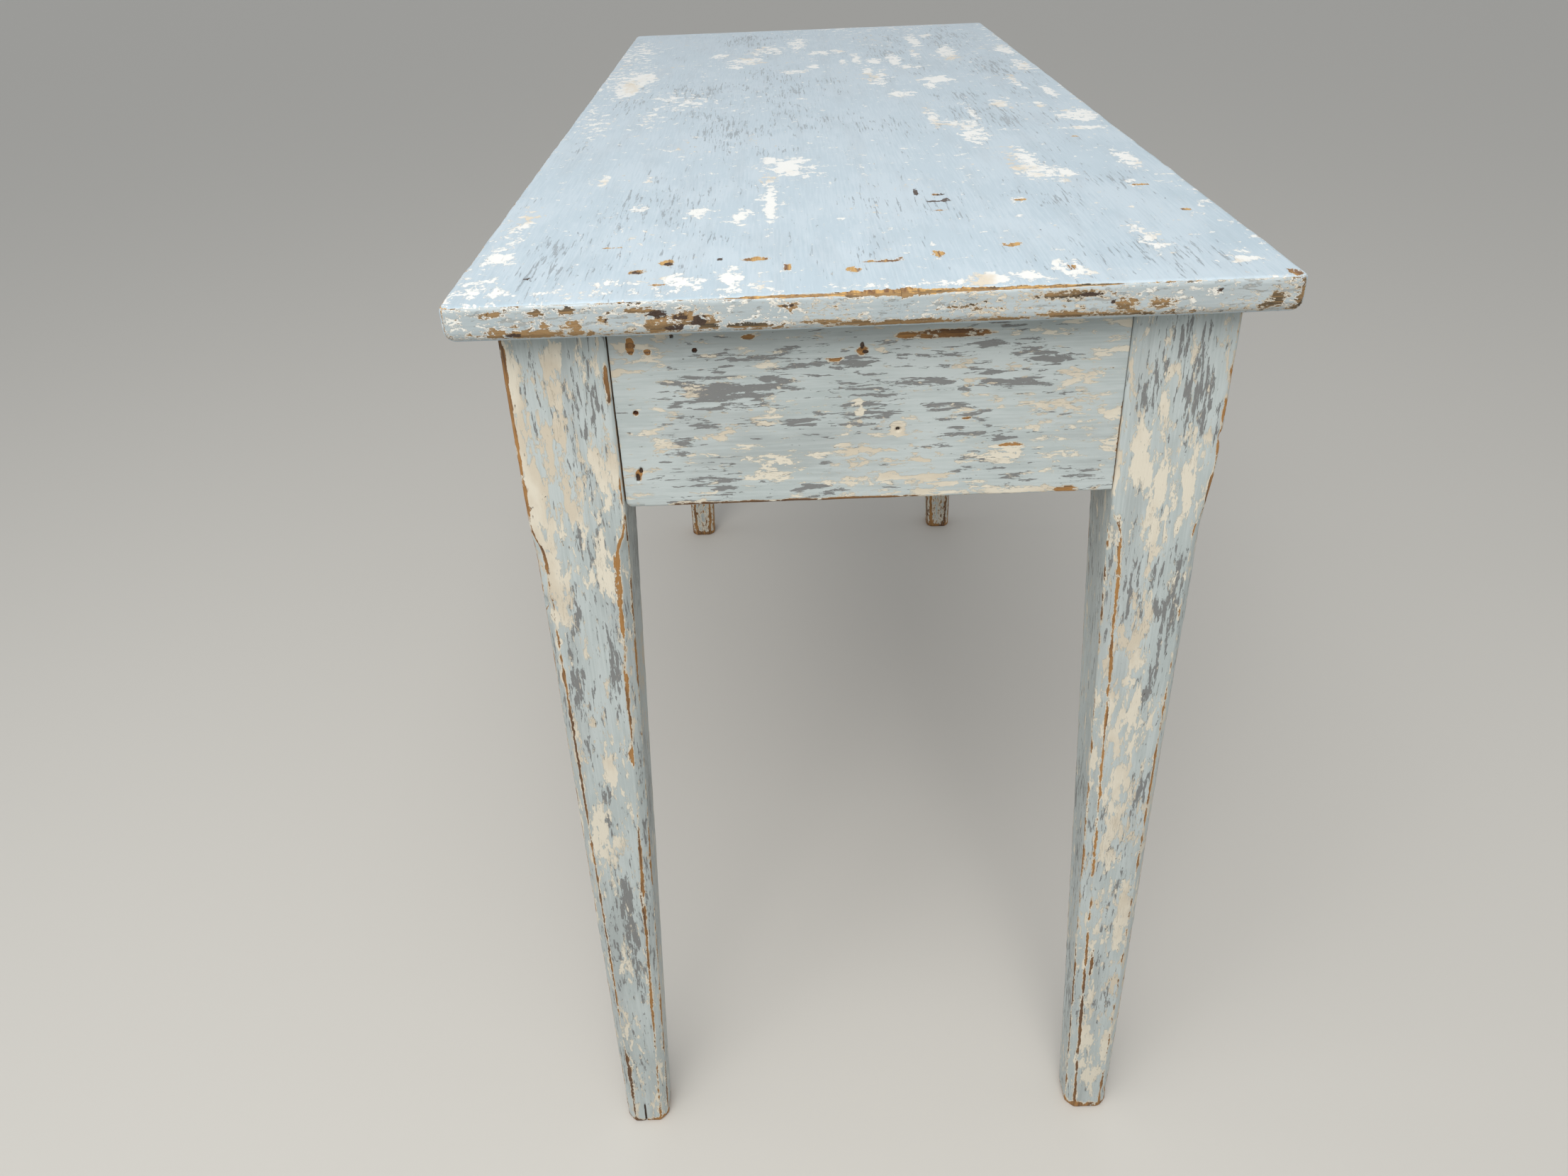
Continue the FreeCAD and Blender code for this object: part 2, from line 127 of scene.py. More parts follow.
LATTICE_SIZE = 32
LATTICE = np.random.RandomState(7).uniform(-1, 1, (LATTICE_SIZE,) * 3)
LAYERS = 3
LAYER_SHIFT = 11.3  # keeps the layers of rough noise from lining up
LAYERS_TOGETHER = 0.7


def noise(points, scale, shift=0.0):
    """Smooth noise from -1 to 1 at points. scale is waves a metre, for all axes or for each."""
    place = points * scale + shift
    cell = np.floor(place).astype(int)
    part = place - cell
    part = part * part * (3 - 2 * part)
    total = np.zeros(len(points))
    for corner in np.ndindex(2, 2, 2):
        weight = np.prod(np.where(corner, part, 1 - part), axis=1)
        x, y, z = ((cell + corner) % LATTICE_SIZE).T
        total += weight * LATTICE[x, y, z]
    return total


def rough_noise(points, scale, shift=0.0):
    """Several sizes of smooth noise added together, still about -1 to 1."""
    scale = np.asarray(scale, float)
    layers = [noise(points, scale * 2**i, shift + LAYER_SHIFT * i) / 2**i for i in range(LAYERS)]
    return sum(layers) * LAYERS_TOGETHER


def smooth_step(low, high, value):
    share = np.clip((value - low) / (high - low), 0, 1)
    return share * share * (3 - 2 * share)


# ---- Shader helper ----

NOISE_GAIN = 2.4  # spreads the noise node's narrow range, which is centred on a half


class Graph:
    """Adds shader nodes to a new material. Every method gives back the socket it makes."""

    def __init__(self, name):
        self.material = bpy.data.materials.new(name)
        self.material.use_nodes = True
        self.tree = self.material.node_tree
        self.shader = self.tree.nodes["Principled BSDF"]
        self.place = self.tree.nodes.new("ShaderNodeTexCoord").outputs["Object"]

    def feed(self, socket, value):
        if isinstance(value, bpy.types.NodeSocket):
            self.tree.links.new(value, socket)
        else:
            socket.default_value = value

    def maths(self, operation, *values):
        node = self.tree.nodes.new("ShaderNodeMath")
        node.operation = operation
        for socket, value in zip(node.inputs, values):
            self.feed(socket, value)
        return node.outputs[0]

    def add(self, *values):
        total = values[0]
        for value in values[1:]:
            total = self.maths("ADD", total, value)
        return total

    def times(self, *values):
        total = values[0]
        for value in values[1:]:
            total = self.maths("MULTIPLY", total, value)
        return total

    def highest(self, first, second):
        return self.maths("MAXIMUM", first, second)

    def stretched(self, scale, shift=(0, 0, 0)):
        """The piece's own coordinates, scaled along each axis and shifted."""
        node = self.tree.nodes.new("ShaderNodeVectorMath")
        node.operation = "MULTIPLY_ADD"
        self.feed(node.inputs[0], self.place)
        node.inputs[1].default_value = scale
        node.inputs[2].default_value = shift
        return node.outputs[0]

    def noise(self, vector, detail=6, roughness=0.6, distortion=0.0):
        """Noise centred on 0 that spreads about as far for any detail, mostly from -0.6 to 0.6."""
        node = self.tree.nodes.new("ShaderNodeTexNoise")
        self.feed(node.inputs["Vector"], vector)
        node.inputs["Scale"].default_value = 1.0
        node.inputs["Detail"].default_value = detail
        node.inputs["Roughness"].default_value = roughness
        node.inputs["Distortion"].default_value = distortion
        sizes = [roughness**i for i in range(detail + 1)]
        gain = NOISE_GAIN * sum(sizes) / math.hypot(*sizes)
        return self.maths("MULTIPLY_ADD", node.outputs["Fac"], gain, -gain / 2)

    def attribute(self, name):
        node = self.tree.nodes.new("ShaderNodeAttribute")
        node.attribute_name = name
        return node.outputs["Fac"]

    def step(self, value, edge, softness):
        """0 below edge and 1 above it, with a soft crossing."""
        node = self.tree.nodes.new("ShaderNodeMapRange")
        node.interpolation_type = "SMOOTHSTEP"
        self.feed(node.inputs["Value"], value)
        node.inputs["From Min"].default_value = edge - softness
        node.inputs["From Max"].default_value = edge + softness
        return node.outputs["Result"]

    def mix(self, share, first, second):
        """Two colours mixed. A colour is a socket or three numbers."""
        node = self.tree.nodes.new("ShaderNodeMix")
        node.data_type = "RGBA"
        self.feed(node.inputs["Factor"], share)
        for name, colour in (("A", first), ("B", second)):
            socket = next(s for s in node.inputs if s.name == name and s.type == "RGBA")
            self.feed(socket, (*colour, 1) if isinstance(colour, tuple) else colour)
        return next(s for s in node.outputs if s.type == "RGBA")

    def bump(self, height, distance):
        node = self.tree.nodes.new("ShaderNodeBump")
        node.inputs["Strength"].default_value = 1.0
        node.inputs["Distance"].default_value = distance
        self.feed(node.inputs["Height"], height)
        self.feed(self.shader.inputs["Normal"], node.outputs["Normal"])

    def finish(self, colour, roughness):
        self.feed(self.shader.inputs["Base Color"], colour)
        self.feed(self.shader.inputs["Roughness"], roughness)
        return self.material


# ---- Colours ----

FRAME_PAINT = {
    "blue": (0.37, 0.415, 0.41),
    "blue_light": (0.44, 0.485, 0.48),
    "grey": (0.155, 0.155, 0.152),
    "cream": (0.62, 0.575, 0.475),
    "cream_dark": (0.53, 0.47, 0.37),
    "wood": (0.33, 0.165, 0.05),
    "wood_dark": (0.11, 0.055, 0.025),
}
# The top's paint is the same paint as the frame's, with painted light in it: made lighter and mostly
# bluer for the sky that falls on the top.
SKY_LIT_TOP_PAINT = {
    "blue": (0.37, 0.455, 0.51),
    "blue_light": (0.44, 0.515, 0.565),
    "grey": (0.22, 0.25, 0.27),
    "cream": (0.70, 0.70, 0.67),
    "cream_dark": (0.60, 0.53, 0.42),
    "wood": (0.47, 0.28, 0.095),
    "wood_dark": (0.16, 0.08, 0.035),
}
END_PAINT = {
    "blue": (0.335, 0.385, 0.40),
    "blue_light": (0.40, 0.445, 0.455),
    "grey": (0.26, 0.26, 0.24),
    "cream": (0.68, 0.67, 0.62),
    "cream_dark": (0.58, 0.51, 0.40),
    "wood": (0.27, 0.165, 0.07),
    "wood_dark": (0.05, 0.038, 0.022),
}
DARK_WOOD = (0.050, 0.028, 0.017)
OLD_WOOD = (0.34, 0.21, 0.11)
OLD_WOOD_DARK = (0.13, 0.075, 0.04)
DUST = (0.20, 0.17, 0.14)
RUST = (0.13, 0.042, 0.018)
RUST_DARK = (0.028, 0.014, 0.009)

AXES = {"x": 0, "y": 1, "z": 2}


def along(grain, across_scale, stretch):
    """A scale for coordinates: patches are that many times longer along the grain than across."""
    scale = [across_scale] * 3
    scale[AXES[grain]] = across_scale / stretch
    return tuple(scale)


def wood_colour(graph, grain, light, dark):
    """Bare softwood with darker growth lines and stains along the grain."""
    lines = graph.noise(graph.stretched(along(grain, 340, 45)), detail=4, distortion=0.6)
    bands = graph.noise(graph.stretched(along(grain, 75, 22), (8, 2, 6)), detail=2, distortion=0.5)
    stains = graph.noise(graph.stretched(along(grain, 40, 2.5), (3, 5, 7)), detail=6, roughness=0.7)
    shade = graph.add(graph.times(lines, 0.6), graph.times(bands, 0.6), graph.times(stains, 0.45))
    return graph.mix(graph.step(shade, 0.14, 0.42), light, dark), lines


# A layer shows where its field is above its edge. The rim is the cream round bare wood.
GREY_EDGE, CREAM_EDGE, THIN_CREAM_EDGE = 0.46, 0.46, 0.36
RIM_EDGE, WOOD_EDGE, DARK_EDGE, BARE_EDGE = 0.38, 0.60, 0.55, 0.50
THIN_CREAM_STRENGTH = 0.28
BUMP_HEIGHT, RUST_HEIGHT = 0.3 * MM, 0.2 * MM
PAINT_GLOSS = 0.52  # roughness


def painted(
    name,
    grain,
    paint,
    grey_size,
    cream_size,
    grey_strength=0.92,
    aged=0.15,
    ragged_size=(300, 2.5),
    wash_strength=0.20,
    rim_edge=RIM_EDGE,
    raggedness=0.36,
):
    """Layers of old paint worn through to the ones below and to the wood. Attributes on the mesh
    say where: grey, cream and wood bring a layer out, dark stains, and bare means never painted.
    A size is waves a metre across the grain, and how many times longer a patch is along it. The
    cream has yellowed where a slow noise is above aged. wash_strength is how much of the grey
    shows through the blue, and raggedness is how broken the outlines of bare wood are."""
    graph = Graph(name)
    ragged = graph.noise(
        graph.stretched(along(grain, *ragged_size), (1, 2, 3)), detail=6, roughness=0.7
    )
    greys = graph.noise(
        graph.stretched(along(grain, *grey_size), (9, 4, 2)), detail=7, roughness=0.68, distortion=0.3
    )
    creams = graph.noise(
        graph.stretched(along(grain, *cream_size), (2, 7, 5)), detail=8, roughness=0.70, distortion=0.3
    )
    drift = graph.noise(graph.stretched(along(grain, 16, 1.6), (6, 3, 4)), detail=2)
    grey_field = graph.add(
        greys, graph.times(ragged, 0.25), graph.times(drift, 0.6), graph.attribute("grey")
    )
    cream_field = graph.add(
        creams, graph.times(ragged, 0.36), graph.times(drift, -0.4), graph.attribute("cream")
    )
    wood_field = graph.add(
        graph.attribute("wood"), graph.times(ragged, raggedness), graph.times(creams, 0.22)
    )

    tone = graph.noise(graph.stretched(along(grain, 18, 2.0)), detail=5)
    strokes = graph.noise(graph.stretched(along(grain, 650, 25)), detail=3)
    shade = graph.add(graph.times(tone, 0.8), graph.times(strokes, 0.5))
    colour = graph.mix(graph.step(shade, 0.0, 0.5), paint["blue"], paint["blue_light"])

    wash = graph.noise(graph.stretched(along(grain, 45, 7), (4, 8, 1)), detail=6, roughness=0.65)
    wash_share = graph.times(graph.step(wash, 0.30, 0.35), wash_strength)
    colour = graph.mix(wash_share, colour, paint["grey"])
    grey_share = graph.step(grey_field, GREY_EDGE, 0.035)
    colour = graph.mix(graph.times(grey_share, grey_strength), colour, paint["grey"])
    cream_tone = graph.mix(graph.step(tone, aged, 0.3), paint["cream"], paint["cream_dark"])
    thin = graph.step(cream_field, THIN_CREAM_EDGE, 0.14)
    cream_share = graph.step(cream_field, CREAM_EDGE, 0.03)
    rim = graph.step(wood_field, rim_edge, 0.04)
    rimmed = graph.highest(cream_share, rim)
    cream_all = graph.highest(rimmed, graph.times(thin, THIN_CREAM_STRENGTH))
    colour = graph.mix(cream_all, colour, cream_tone)
    wood, lines = wood_colour(graph, grain, paint["wood"], paint["wood_dark"])
    wood_share = graph.step(wood_field, WOOD_EDGE, 0.04)
    colour = graph.mix(wood_share, colour, wood)
    dark_field = graph.add(graph.attribute("dark"), graph.times(ragged, 0.55))
    dark_share = graph.step(dark_field, DARK_EDGE, 0.06)
    colour = graph.mix(dark_share, colour, DARK_WOOD)

    bare, _ = wood_colour(graph, grain, OLD_WOOD, OLD_WOOD_DARK)
    bare_field = graph.add(graph.attribute("bare"), graph.times(ragged, 0.25))
    unpainted = graph.step(bare_field, BARE_EDGE, 0.05)
    colour = graph.mix(unpainted, colour, bare)

    gone = graph.highest(wood_share, unpainted)
    layers = graph.add(
        graph.times(grey_share, -0.3),
        graph.times(cream_all, -0.35),
        graph.times(gone, -0.7),
        graph.times(dark_share, -0.8),
        graph.times(strokes, 0.10),
        graph.times(graph.times(lines, gone), 0.4),
    )
    graph.bump(layers, BUMP_HEIGHT)
    roughness = graph.add(PAINT_GLOSS, graph.times(gone, 0.3), graph.times(tone, 0.10))
    return graph.finish(colour, roughness)


def bare_wood(name, grain):
    """Old unpainted softwood with fine saw marks across the grain."""
    graph = Graph(name)
    colour, lines = wood_colour(graph, grain, OLD_WOOD, OLD_WOOD_DARK)
    dust = graph.noise(graph.stretched((25, 25, 25)), detail=6)
    colour = graph.mix(graph.step(dust, 0.35, 0.35), colour, DUST)
    saw = graph.noise(graph.stretched(along(grain, 30, 0.05)), detail=2)
    graph.bump(graph.add(graph.times(lines, 0.35), graph.times(saw, 0.3)), BUMP_HEIGHT)
    return graph.finish(colour, graph.add(0.82, graph.times(dust, 0.07)))


def rusty(name):
    graph = Graph(name)
    pits = graph.noise(graph.stretched((900, 900, 900)), detail=5)
    colour = graph.mix(graph.step(pits, 0.0, 0.5), RUST_DARK, RUST)
    graph.bump(graph.times(pits, 0.35), RUST_HEIGHT)
    graph.shader.inputs["Metallic"].default_value = 0.35
    return graph.finish(colour, graph.add(0.75, graph.times(pits, 0.13)))


# ---- Meshes ----

# Distances in from an edge where a mesh has lines, so that rounded and chipped edges have shape.
EDGE_LINES = np.array([0, 0.5, 1.1, 1.9, 3.0, 4.3, 6.0, 8.0, 10.5]) * MM
LEAST_GAP = 0.2 * MM
ON_FACE = 0.1 * MM  # a point this near a face lies on it


def graded(low, high, pitch, extra=()):
    """Places along one side of a block: close together at its ends and evenly spaced between."""
    length = high - low
    near = EDGE_LINES[EDGE_LINES < 0.45 * length]
    count = max(1, round((length - 2 * near[-1]) / pitch))
    inner = np.linspace(near[-1], length - near[-1], count + 1)
    lines = np.concatenate([near, inner, length - near, np.array(extra, float) - low])
    lines = np.unique(np.round(lines, 6))
    keep = np.concatenate([[True], np.diff(lines) > LEAST_GAP])
    keep[-1] = True
    return low + lines[keep]


def block(low, high, pitch, extra=((), (), ())):
    """The surface of a box as a mesh of quads: its points and a list of its faces. extra adds
    lines along each axis."""
    lines = [graded(low[a], high[a], pitch, extra[a]) for a in range(3)]
    shape = tuple(len(line) for line in lines)
    surface = np.zeros(shape, bool)
    for axis in range(3):
        np.moveaxis(surface, axis, 0)[[0, -1]] = True
    index = np.full(shape, -1)
    index[surface] = np.arange(surface.sum())
    points = np.stack(np.meshgrid(*lines, indexing="ij"), -1)[surface]
    quads = []
    for axis in range(3):
        for end in (0, -1):
            sheet = np.take(index, end, axis=axis)
            corners = sheet[:-1, :-1], sheet[1:, :-1], sheet[1:, 1:], sheet[:-1, 1:]
            quad = np.stack(corners, -1).reshape(-1, 4)
            backwards = (end == 0) != (axis == 1)
            quads.append(quad[:, ::-1] if backwards else quad)
    return points, np.concatenate(quads).tolist()


def insets(points, low, high):
    """How far each point lies inside the nearer face of a box, along each axis, and which face."""
    low, high = np.array(low), np.array(high)
    nearer = np.where(points - low < high - points, -1.0, 1.0)
    return np.minimum(points - low, high - points), nearer


def rounded(points, low, high, radii):
    """Moves a box's points onto rounded edges. radii has one length for each point and axis.
    Gives the new points and the outward directions."""
    inset, nearer = insets(points, low, high)
    reach = np.clip(1 - inset / radii, 0, 1)
    unit = reach / np.linalg.norm(reach, axis=1, keepdims=True)
    new_inset = np.where(reach > 0, radii * (1 - unit), inset)
    middle = (np.array(low) + np.array(high)) / 2
    half = (np.array(high) - np.array(low)) / 2
    moved = middle + nearer * (half - new_inset)
    return moved, unit * nearer


def to_arris(points, low, high):
    """Each surface point's distance to the nearest arris of its box."""
    inset, _ = insets(points, low, high)
    return np.sort(inset, axis=1)[:, 1]


def make_piece(name, points, faces, materials, replaces, fields):
    """A mesh object with its attributes, riding on the table and standing for its CAD node."""
    mesh = bpy.data.meshes.new(name)
    mesh.from_pydata(points.tolist(), [], faces)
    mesh.polygons.foreach_set("use_smooth", np.ones(len(mesh.polygons), bool))
    for field, values in fields.items():
        attribute = mesh.attributes.new(field, "FLOAT", "POINT")
        attribute.data.foreach_set("value", np.asarray(values, np.float32))
    for material in materials:
        mesh.materials.append(material)
    piece = bpy.data.objects.new(name, mesh)
    bpy.context.scene.collection.objects.link(piece)
    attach(piece, BODY)
    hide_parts(replaces)
    return piece


def spots(points, marks, axes, ease=0.35):
    """How strongly each point lies in one of several soft ovals, 0 outside and 1 in the middle.
    A mark is its centre and half sizes along two axes, in millimetres."""
    across, up = points[:, axes[0]], points[:, axes[1]]
    strength = np.zeros(len(points))
    for x, y, half_x, half_y in marks:
        away = np.hypot((across / MM - x) / half_x, (up / MM - y) / half_y)
        strength = np.maximum(strength, 1 - smooth_step(1 - ease, 1 + ease, away))
    return strength


# ---- The top ----

# Marks on the top: centre x, centre y, half width, half length, in millimetres.
WHITE_PATCHES = (
    (-60, 390, 24, 45), (-82, 312, 22, 30), (-20, 440, 12, 60), (-118, 358, 10, 20),
    (-95, 262, 9, 20), (5, 357, 11, 18), (28, 360, 10, 18), (-28, 212, 16, 14),
    (-5, 245, 7, 12), (48, 290, 6, 45), (30, 272, 5, 22), (68, 270, 8, 20),
    (92, 280, 9, 45), (108, 215, 18, 18), (120, 308, 6, 34), (130, 430, 8, 62),
    (160, 325, 11, 62), (152, 480, 9, 16), (230, 320, 9, 42), (228, 190, 9, 45),
    (62, 135, 13, 42), (54, 190, 5, 30), (122, 120, 17, 26), (112, 80, 6, 20),
    (76, 35, 16, 22), (224, 15, 6, 32), (202, 80, 4, 45), (94, -100, 7, 50),
    (104, -125, 9, 18), (120, -165, 11, 56), (133, -80, 5, 45), (222, -112, 16, 30),
    (218, -168, 14, 9), (143, -300, 13, 52), (160, -335, 14, 26), (220, -292, 8, 36),
    (204, -368, 5, 18), (-108, -410, 9, 18), (-76, -428, 5, 22), (178, -525, 11, 32),
    (218, -562, 11, 14), (120, -572, 11, 15), (70, -580, 12, 10), (92, -578, 7, 10),
    (-80, -560, 7, 16), (-225, -508, 9, 10), (-112, -562, 10, 12), (115, -405, 6, 10),
    (200, -50, 5, 12), (165, -40, 10, 22), (178, -490, 6, 12), (112, -560, 5, 8),
    (-57, -395, 3, 55), (-44, -278, 9, 22), (-57, -250, 5, 12), (-208, 130, 11, 42),
    (-198, 205, 12, 30), (-150, -395, 6, 12), (-185, -300, 4, 20), (-150, -300, 4, 16),
)  # fmt: skip
PALE_AREAS = (
    (-213, 170, 28, 130), (-222, 400, 20, 120), (-222, -70, 14, 90), (-56, -330, 12, 90),
    (-38, -280, 18, 60), (-150, 60, 30, 60), (-228, -440, 10, 70), (-225, -570, 22, 25),
    (-170, -20, 8, 50), (50, -588, 60, 6), (-150, -584, 80, 10), (-140, -566, 40, 7),
)  # fmt: skip
TOP_CHIPS = (
    (-137, -545, 6, 5), (-120, -528, 5, 8), (-66, -527, 9, 5), (-47, -545, 3, 9),
    (-8, -556, 5, 7), (10, -541, 14, 3), (45, -530, 4, 9), (92, -516, 8, 5),
    (118, -568, 3, 7), (59, -428, 5, 2.5), (62, -384, 4, 4), (208, -377, 7, 4), (117, -408, 5, 4),
    (-122, -572, 6, 2.5), (-158, -490, 7, 2), (201, -202, 4, 3), (220, -449, 5, 4), (22, -537, 4, 2),
    (239, -592, 5, 7),
)  # fmt: skip
TOP_BURNS = (
    (61, -404, 8, 2.4), (66, -399, 3, 3), (64, -385, 2.5, 3), (47, -376, 1, 14), (-88, -526, 2.5, 3),
    (-202, -551, 2.4, 2.4), (-119, -530, 3, 4), (-137, -546, 3, 2),
)  # fmt: skip
SCRATCHED_AREAS = (
    (-95, -160, 40, 90), (-130, 20, 60, 140), (-40, 60, 30, 160), (155, -60, 40, 140),
    (190, 150, 30, 160), (180, 440, 30, 90), (10, 120, 20, 60), (-150, -430, 40, 70),
    (15, -400, 14, 80), (85, 420, 30, 130), (-70, 520, 60, 60), (165, -20, 26, 60),
)  # fmt: skip
# Marks on the near edge of the top: centre x, centre z, half width, half height, in millimetres.
EDGE_BARE = (
    (-213, 763, 6, 3), (-193, 762, 14, 3), (-186, 766, 3, 4), (-169, 767, 5, 3), (-168, 762, 5, 2),
    (-121, 765, 7, 5), (-106, 769, 6, 4), (-92, 765, 6, 4), (-130, 774, 10, 2), (-152, 769, 3, 3),
    (-215, 775, 7, 1.6), (-190, 775, 5, 1.4), (-172, 775.5, 5, 1.6), (-47, 774, 5, 2),
    (-12, 762, 9, 2.0), (22, 760, 26, 2.4), (70, 760, 14, 1.8), (50, 768, 20, 1.2),
    (112, 762, 16, 2.0), (112, 774, 20, 1.8), (143, 768, 7, 4), (163, 768, 8, 3.6),
    (140, 761, 18, 1.8), (227, 767, 4, 5), (221, 764, 4, 2), (-70, 763, 12, 1.4),
    (-30, 764, 10, 1.4), (244, 768, 4, 8),
)  # fmt: skip
EDGE_MOTTLED = (
    (-108, 768, 24, 12), (-60, 762, 40, 5), (-200, 764, 34, 8), (-180, 775, 60, 3),
    (110, 774, 40, 4), (10, 761, 60, 4), (90, 763, 60, 4), (236, 768, 12, 12),
    (-30, 772, 24, 4), (60, 772, 30, 3), (200, 761, 40, 3),
)  # fmt: skip
EDGE_DARK = (
    (-121, 772, 6, 2.5), (-108, 770, 5, 2), (-98, 767, 5, 2.5), (-112, 763, 7, 1.5),
    (-205, 762, 6, 1.5), (-47, 774, 2.5, 1.5), (122, 774, 8, 1.2), (7, 770, 1.4, 1.4),
    (134, 769, 1.4, 1.4), (-218, 775, 2, 1), (195, 774, 1.4, 1.2), (-150, 770, 1.3, 1.3),
)  # fmt: skip

TOP_PITCH = 3.0 * MM  # mesh spacing
UPPER_ROUND = 3.6 * MM
END_ROUND = 7.0 * MM
SIDE_ROUND = 11.0 * MM
PLAN_ROUND = 7.5 * MM  # the top's corners seen from above
JOINT_GROOVE = 0.3 * MM


def rounded_top(points, low, high):
    """Moves a board's points onto the rounded edges of the whole top, whose box is low to high.
    Gives the new points and the outward directions."""
    inset, nearer = insets(points, low, high)
    flat, drop = inset[:, :2], inset[:, 2]
    towards = np.clip(1 - flat / PLAN_ROUND, 0, 1)
    level = towards.max(1, keepdims=True)
    length = np.linalg.norm(towards, axis=1, keepdims=True)
    turn = np.divide(towards, length, out=np.zeros_like(towards), where=length > 0)
    depth = np.where(level[:, 0] > 0, PLAN_ROUND * (1 - level[:, 0]), flat.min(1))

    by_end = turn[:, 1] ** 2
    under = SIDE_ROUND + (END_ROUND - SIDE_ROUND) * by_end
    lower = nearer[:, 2] < 0
    wear = 1 + 0.30 * rough_noise(points, 45)
    by_corner = 1 - smooth_step(PLAN_ROUND, 4 * PLAN_ROUND, flat.max(1))
    under = under + (PLAN_ROUND - under) * by_corner
    radius = np.where(lower, under, np.minimum(UPPER_ROUND * wear, PLAN_ROUND))
    away = np.stack([np.clip(1 - depth / radius, 0, 1), np.clip(1 - drop / radius, 0, 1)], 1)
    reach = np.linalg.norm(away, axis=1, keepdims=True)
    unit = np.divide(away, reach, out=np.zeros_like(away), where=reach > 0)
    new_depth = np.where(away[:, 0] > 0, radius * (1 - unit[:, 0]), depth)
    new_drop = np.where(away[:, 1] > 0, radius * (1 - unit[:, 1]), drop)

    by_rim = level[:, 0] > 0
    from_arc = PLAN_ROUND - turn * (PLAN_ROUND - new_depth[:, None])
    new_flat = np.where(by_rim[:, None], from_arc, flat)
    new_inset = np.concatenate([np.where(towards > 0, new_flat, flat), new_drop[:, None]], 1)
    middle = (np.array(low) + np.array(high)) / 2
    half = (np.array(high) - np.array(low)) / 2
    out = np.concatenate([turn * unit[:, :1], unit[:, 1:]], 1) * nearer
    return middle + nearer * (half - new_inset), out


# How deep the bare strip along the near edge is: x and depth, in millimetres.
BARE_STRIP_DEPTHS = ((-90, 0), (-70, 1.5), (-20, 2.2), (0, 5), (25, 5), (45, 2.5), (110, 2), (150, 0))
STRIP_REACH = 12 * MM
UNPAINTED_FROM = 22 * MM  # the underside is bare this far in from the edges
END_FACE_SHARE = 0.7  # faces turned at least this far to an end take the end grain's material


def top_fields(points, low, high):
    """Where the paint of a top board has worn, and how strongly each point lies in the bare strip.
    low and high bound the whole top."""
    x = points[:, 0]
    inset, nearer = insets(points, low, high)
    arris = np.sort(inset, axis=1)[:, 1]
    upper = nearer[:, 2] > 0
    on_top = upper & (inset[:, 2] < ON_FACE)
    near_end = nearer[:, 1] < 0
    on_end = inset[:, 1] < ON_FACE
    wander = rough_noise(points, 30, 3.0)
    detail = rough_noise(points, 160, 5.0)

    depth = np.interp(x / MM, *zip(*BARE_STRIP_DEPTHS)) * MM * (1 + 0.45 * detail)
    off_edge = np.where(on_top, inset[:, 1], inset[:, 2] * 1.6)
    strip = near_end & upper & (inset[:, 1] < STRIP_REACH) & (on_top | on_end)
    strip = strip * (1 - smooth_step(0.8, 1.3, off_edge / np.maximum(depth, 0.01 * MM)))
    strip *= smooth_step(0.2 * MM, 1.0 * MM, depth)
    wear = np.exp(-arris / (1.5 * MM)) * (0.36 + 0.35 * wander + 0.30 * detail)
    wear *= np.where(upper, 1.0, 0.95)
    side_wear = np.exp(-arris / (2 * MM)) * (0.68 + 0.3 * wander + 0.25 * detail)
    wear = np.where(inset[:, 0] < STRIP_REACH, side_wear, wear)
    wood = wear + 0.85 * strip
    near_face = on_end & near_end
    wood = np.maximum(wood, 0.82 * on_top * spots(points, TOP_CHIPS, (0, 1), 0.5))
    wood = np.maximum(wood, 0.70 * near_face * spots(points, EDGE_BARE, (0, 2), 0.6))
    lower_end = on_end * (1 - smooth_step(4 * MM, 9 * MM, points[:, 2] - low[2]))
    mottled = on_end * spots(points, EDGE_MOTTLED, (0, 2), 0.7) * near_end
    on_side = inset[:, 0] < ON_FACE
    wood += on_end * 0.06 + on_side * 0.05 + lower_end * (0.13 + 0.2 * wander) + 0.23 * mottled

    rim = np.exp(-inset[:, :2].min(1) / (9 * MM)) * on_top
    patches = spots(points, WHITE_PATCHES, (0, 1), 0.75)
    pale = spots(points, PALE_AREAS, (0, 1), 0.8)
    far = smooth_step(0.0, 0.5, points[:, 1]) * smooth_step(-0.1, 0.1, x)
    cream = -0.35 + on_top * (1.10 * patches + 0.66 * pale + 0.18 * far)
    cream += 0.3 * rim + 0.40 * on_end + 0.34 * on_side
    scratched = spots(points, SCRATCHED_AREAS, (0, 1), 0.9)
    grey = -0.42 + 0.54 * scratched * on_top + 0.37 * on_end - 0.3 * rim
    dark = on_top * spots(points, TOP_BURNS, (0, 1))
    dark += near_face * spots(points, EDGE_DARK, (0, 2), 0.6)
    under = (~upper) & (inset[:, 2] < ON_FACE)
    bare = under * smooth_step(UNPAINTED_FROM, UNPAINTED_FROM + 12 * MM, inset[:, :2].min(1))
    return {"wood": wood, "cream": cream, "grey": grey, "dark": dark, "bare": bare}, strip


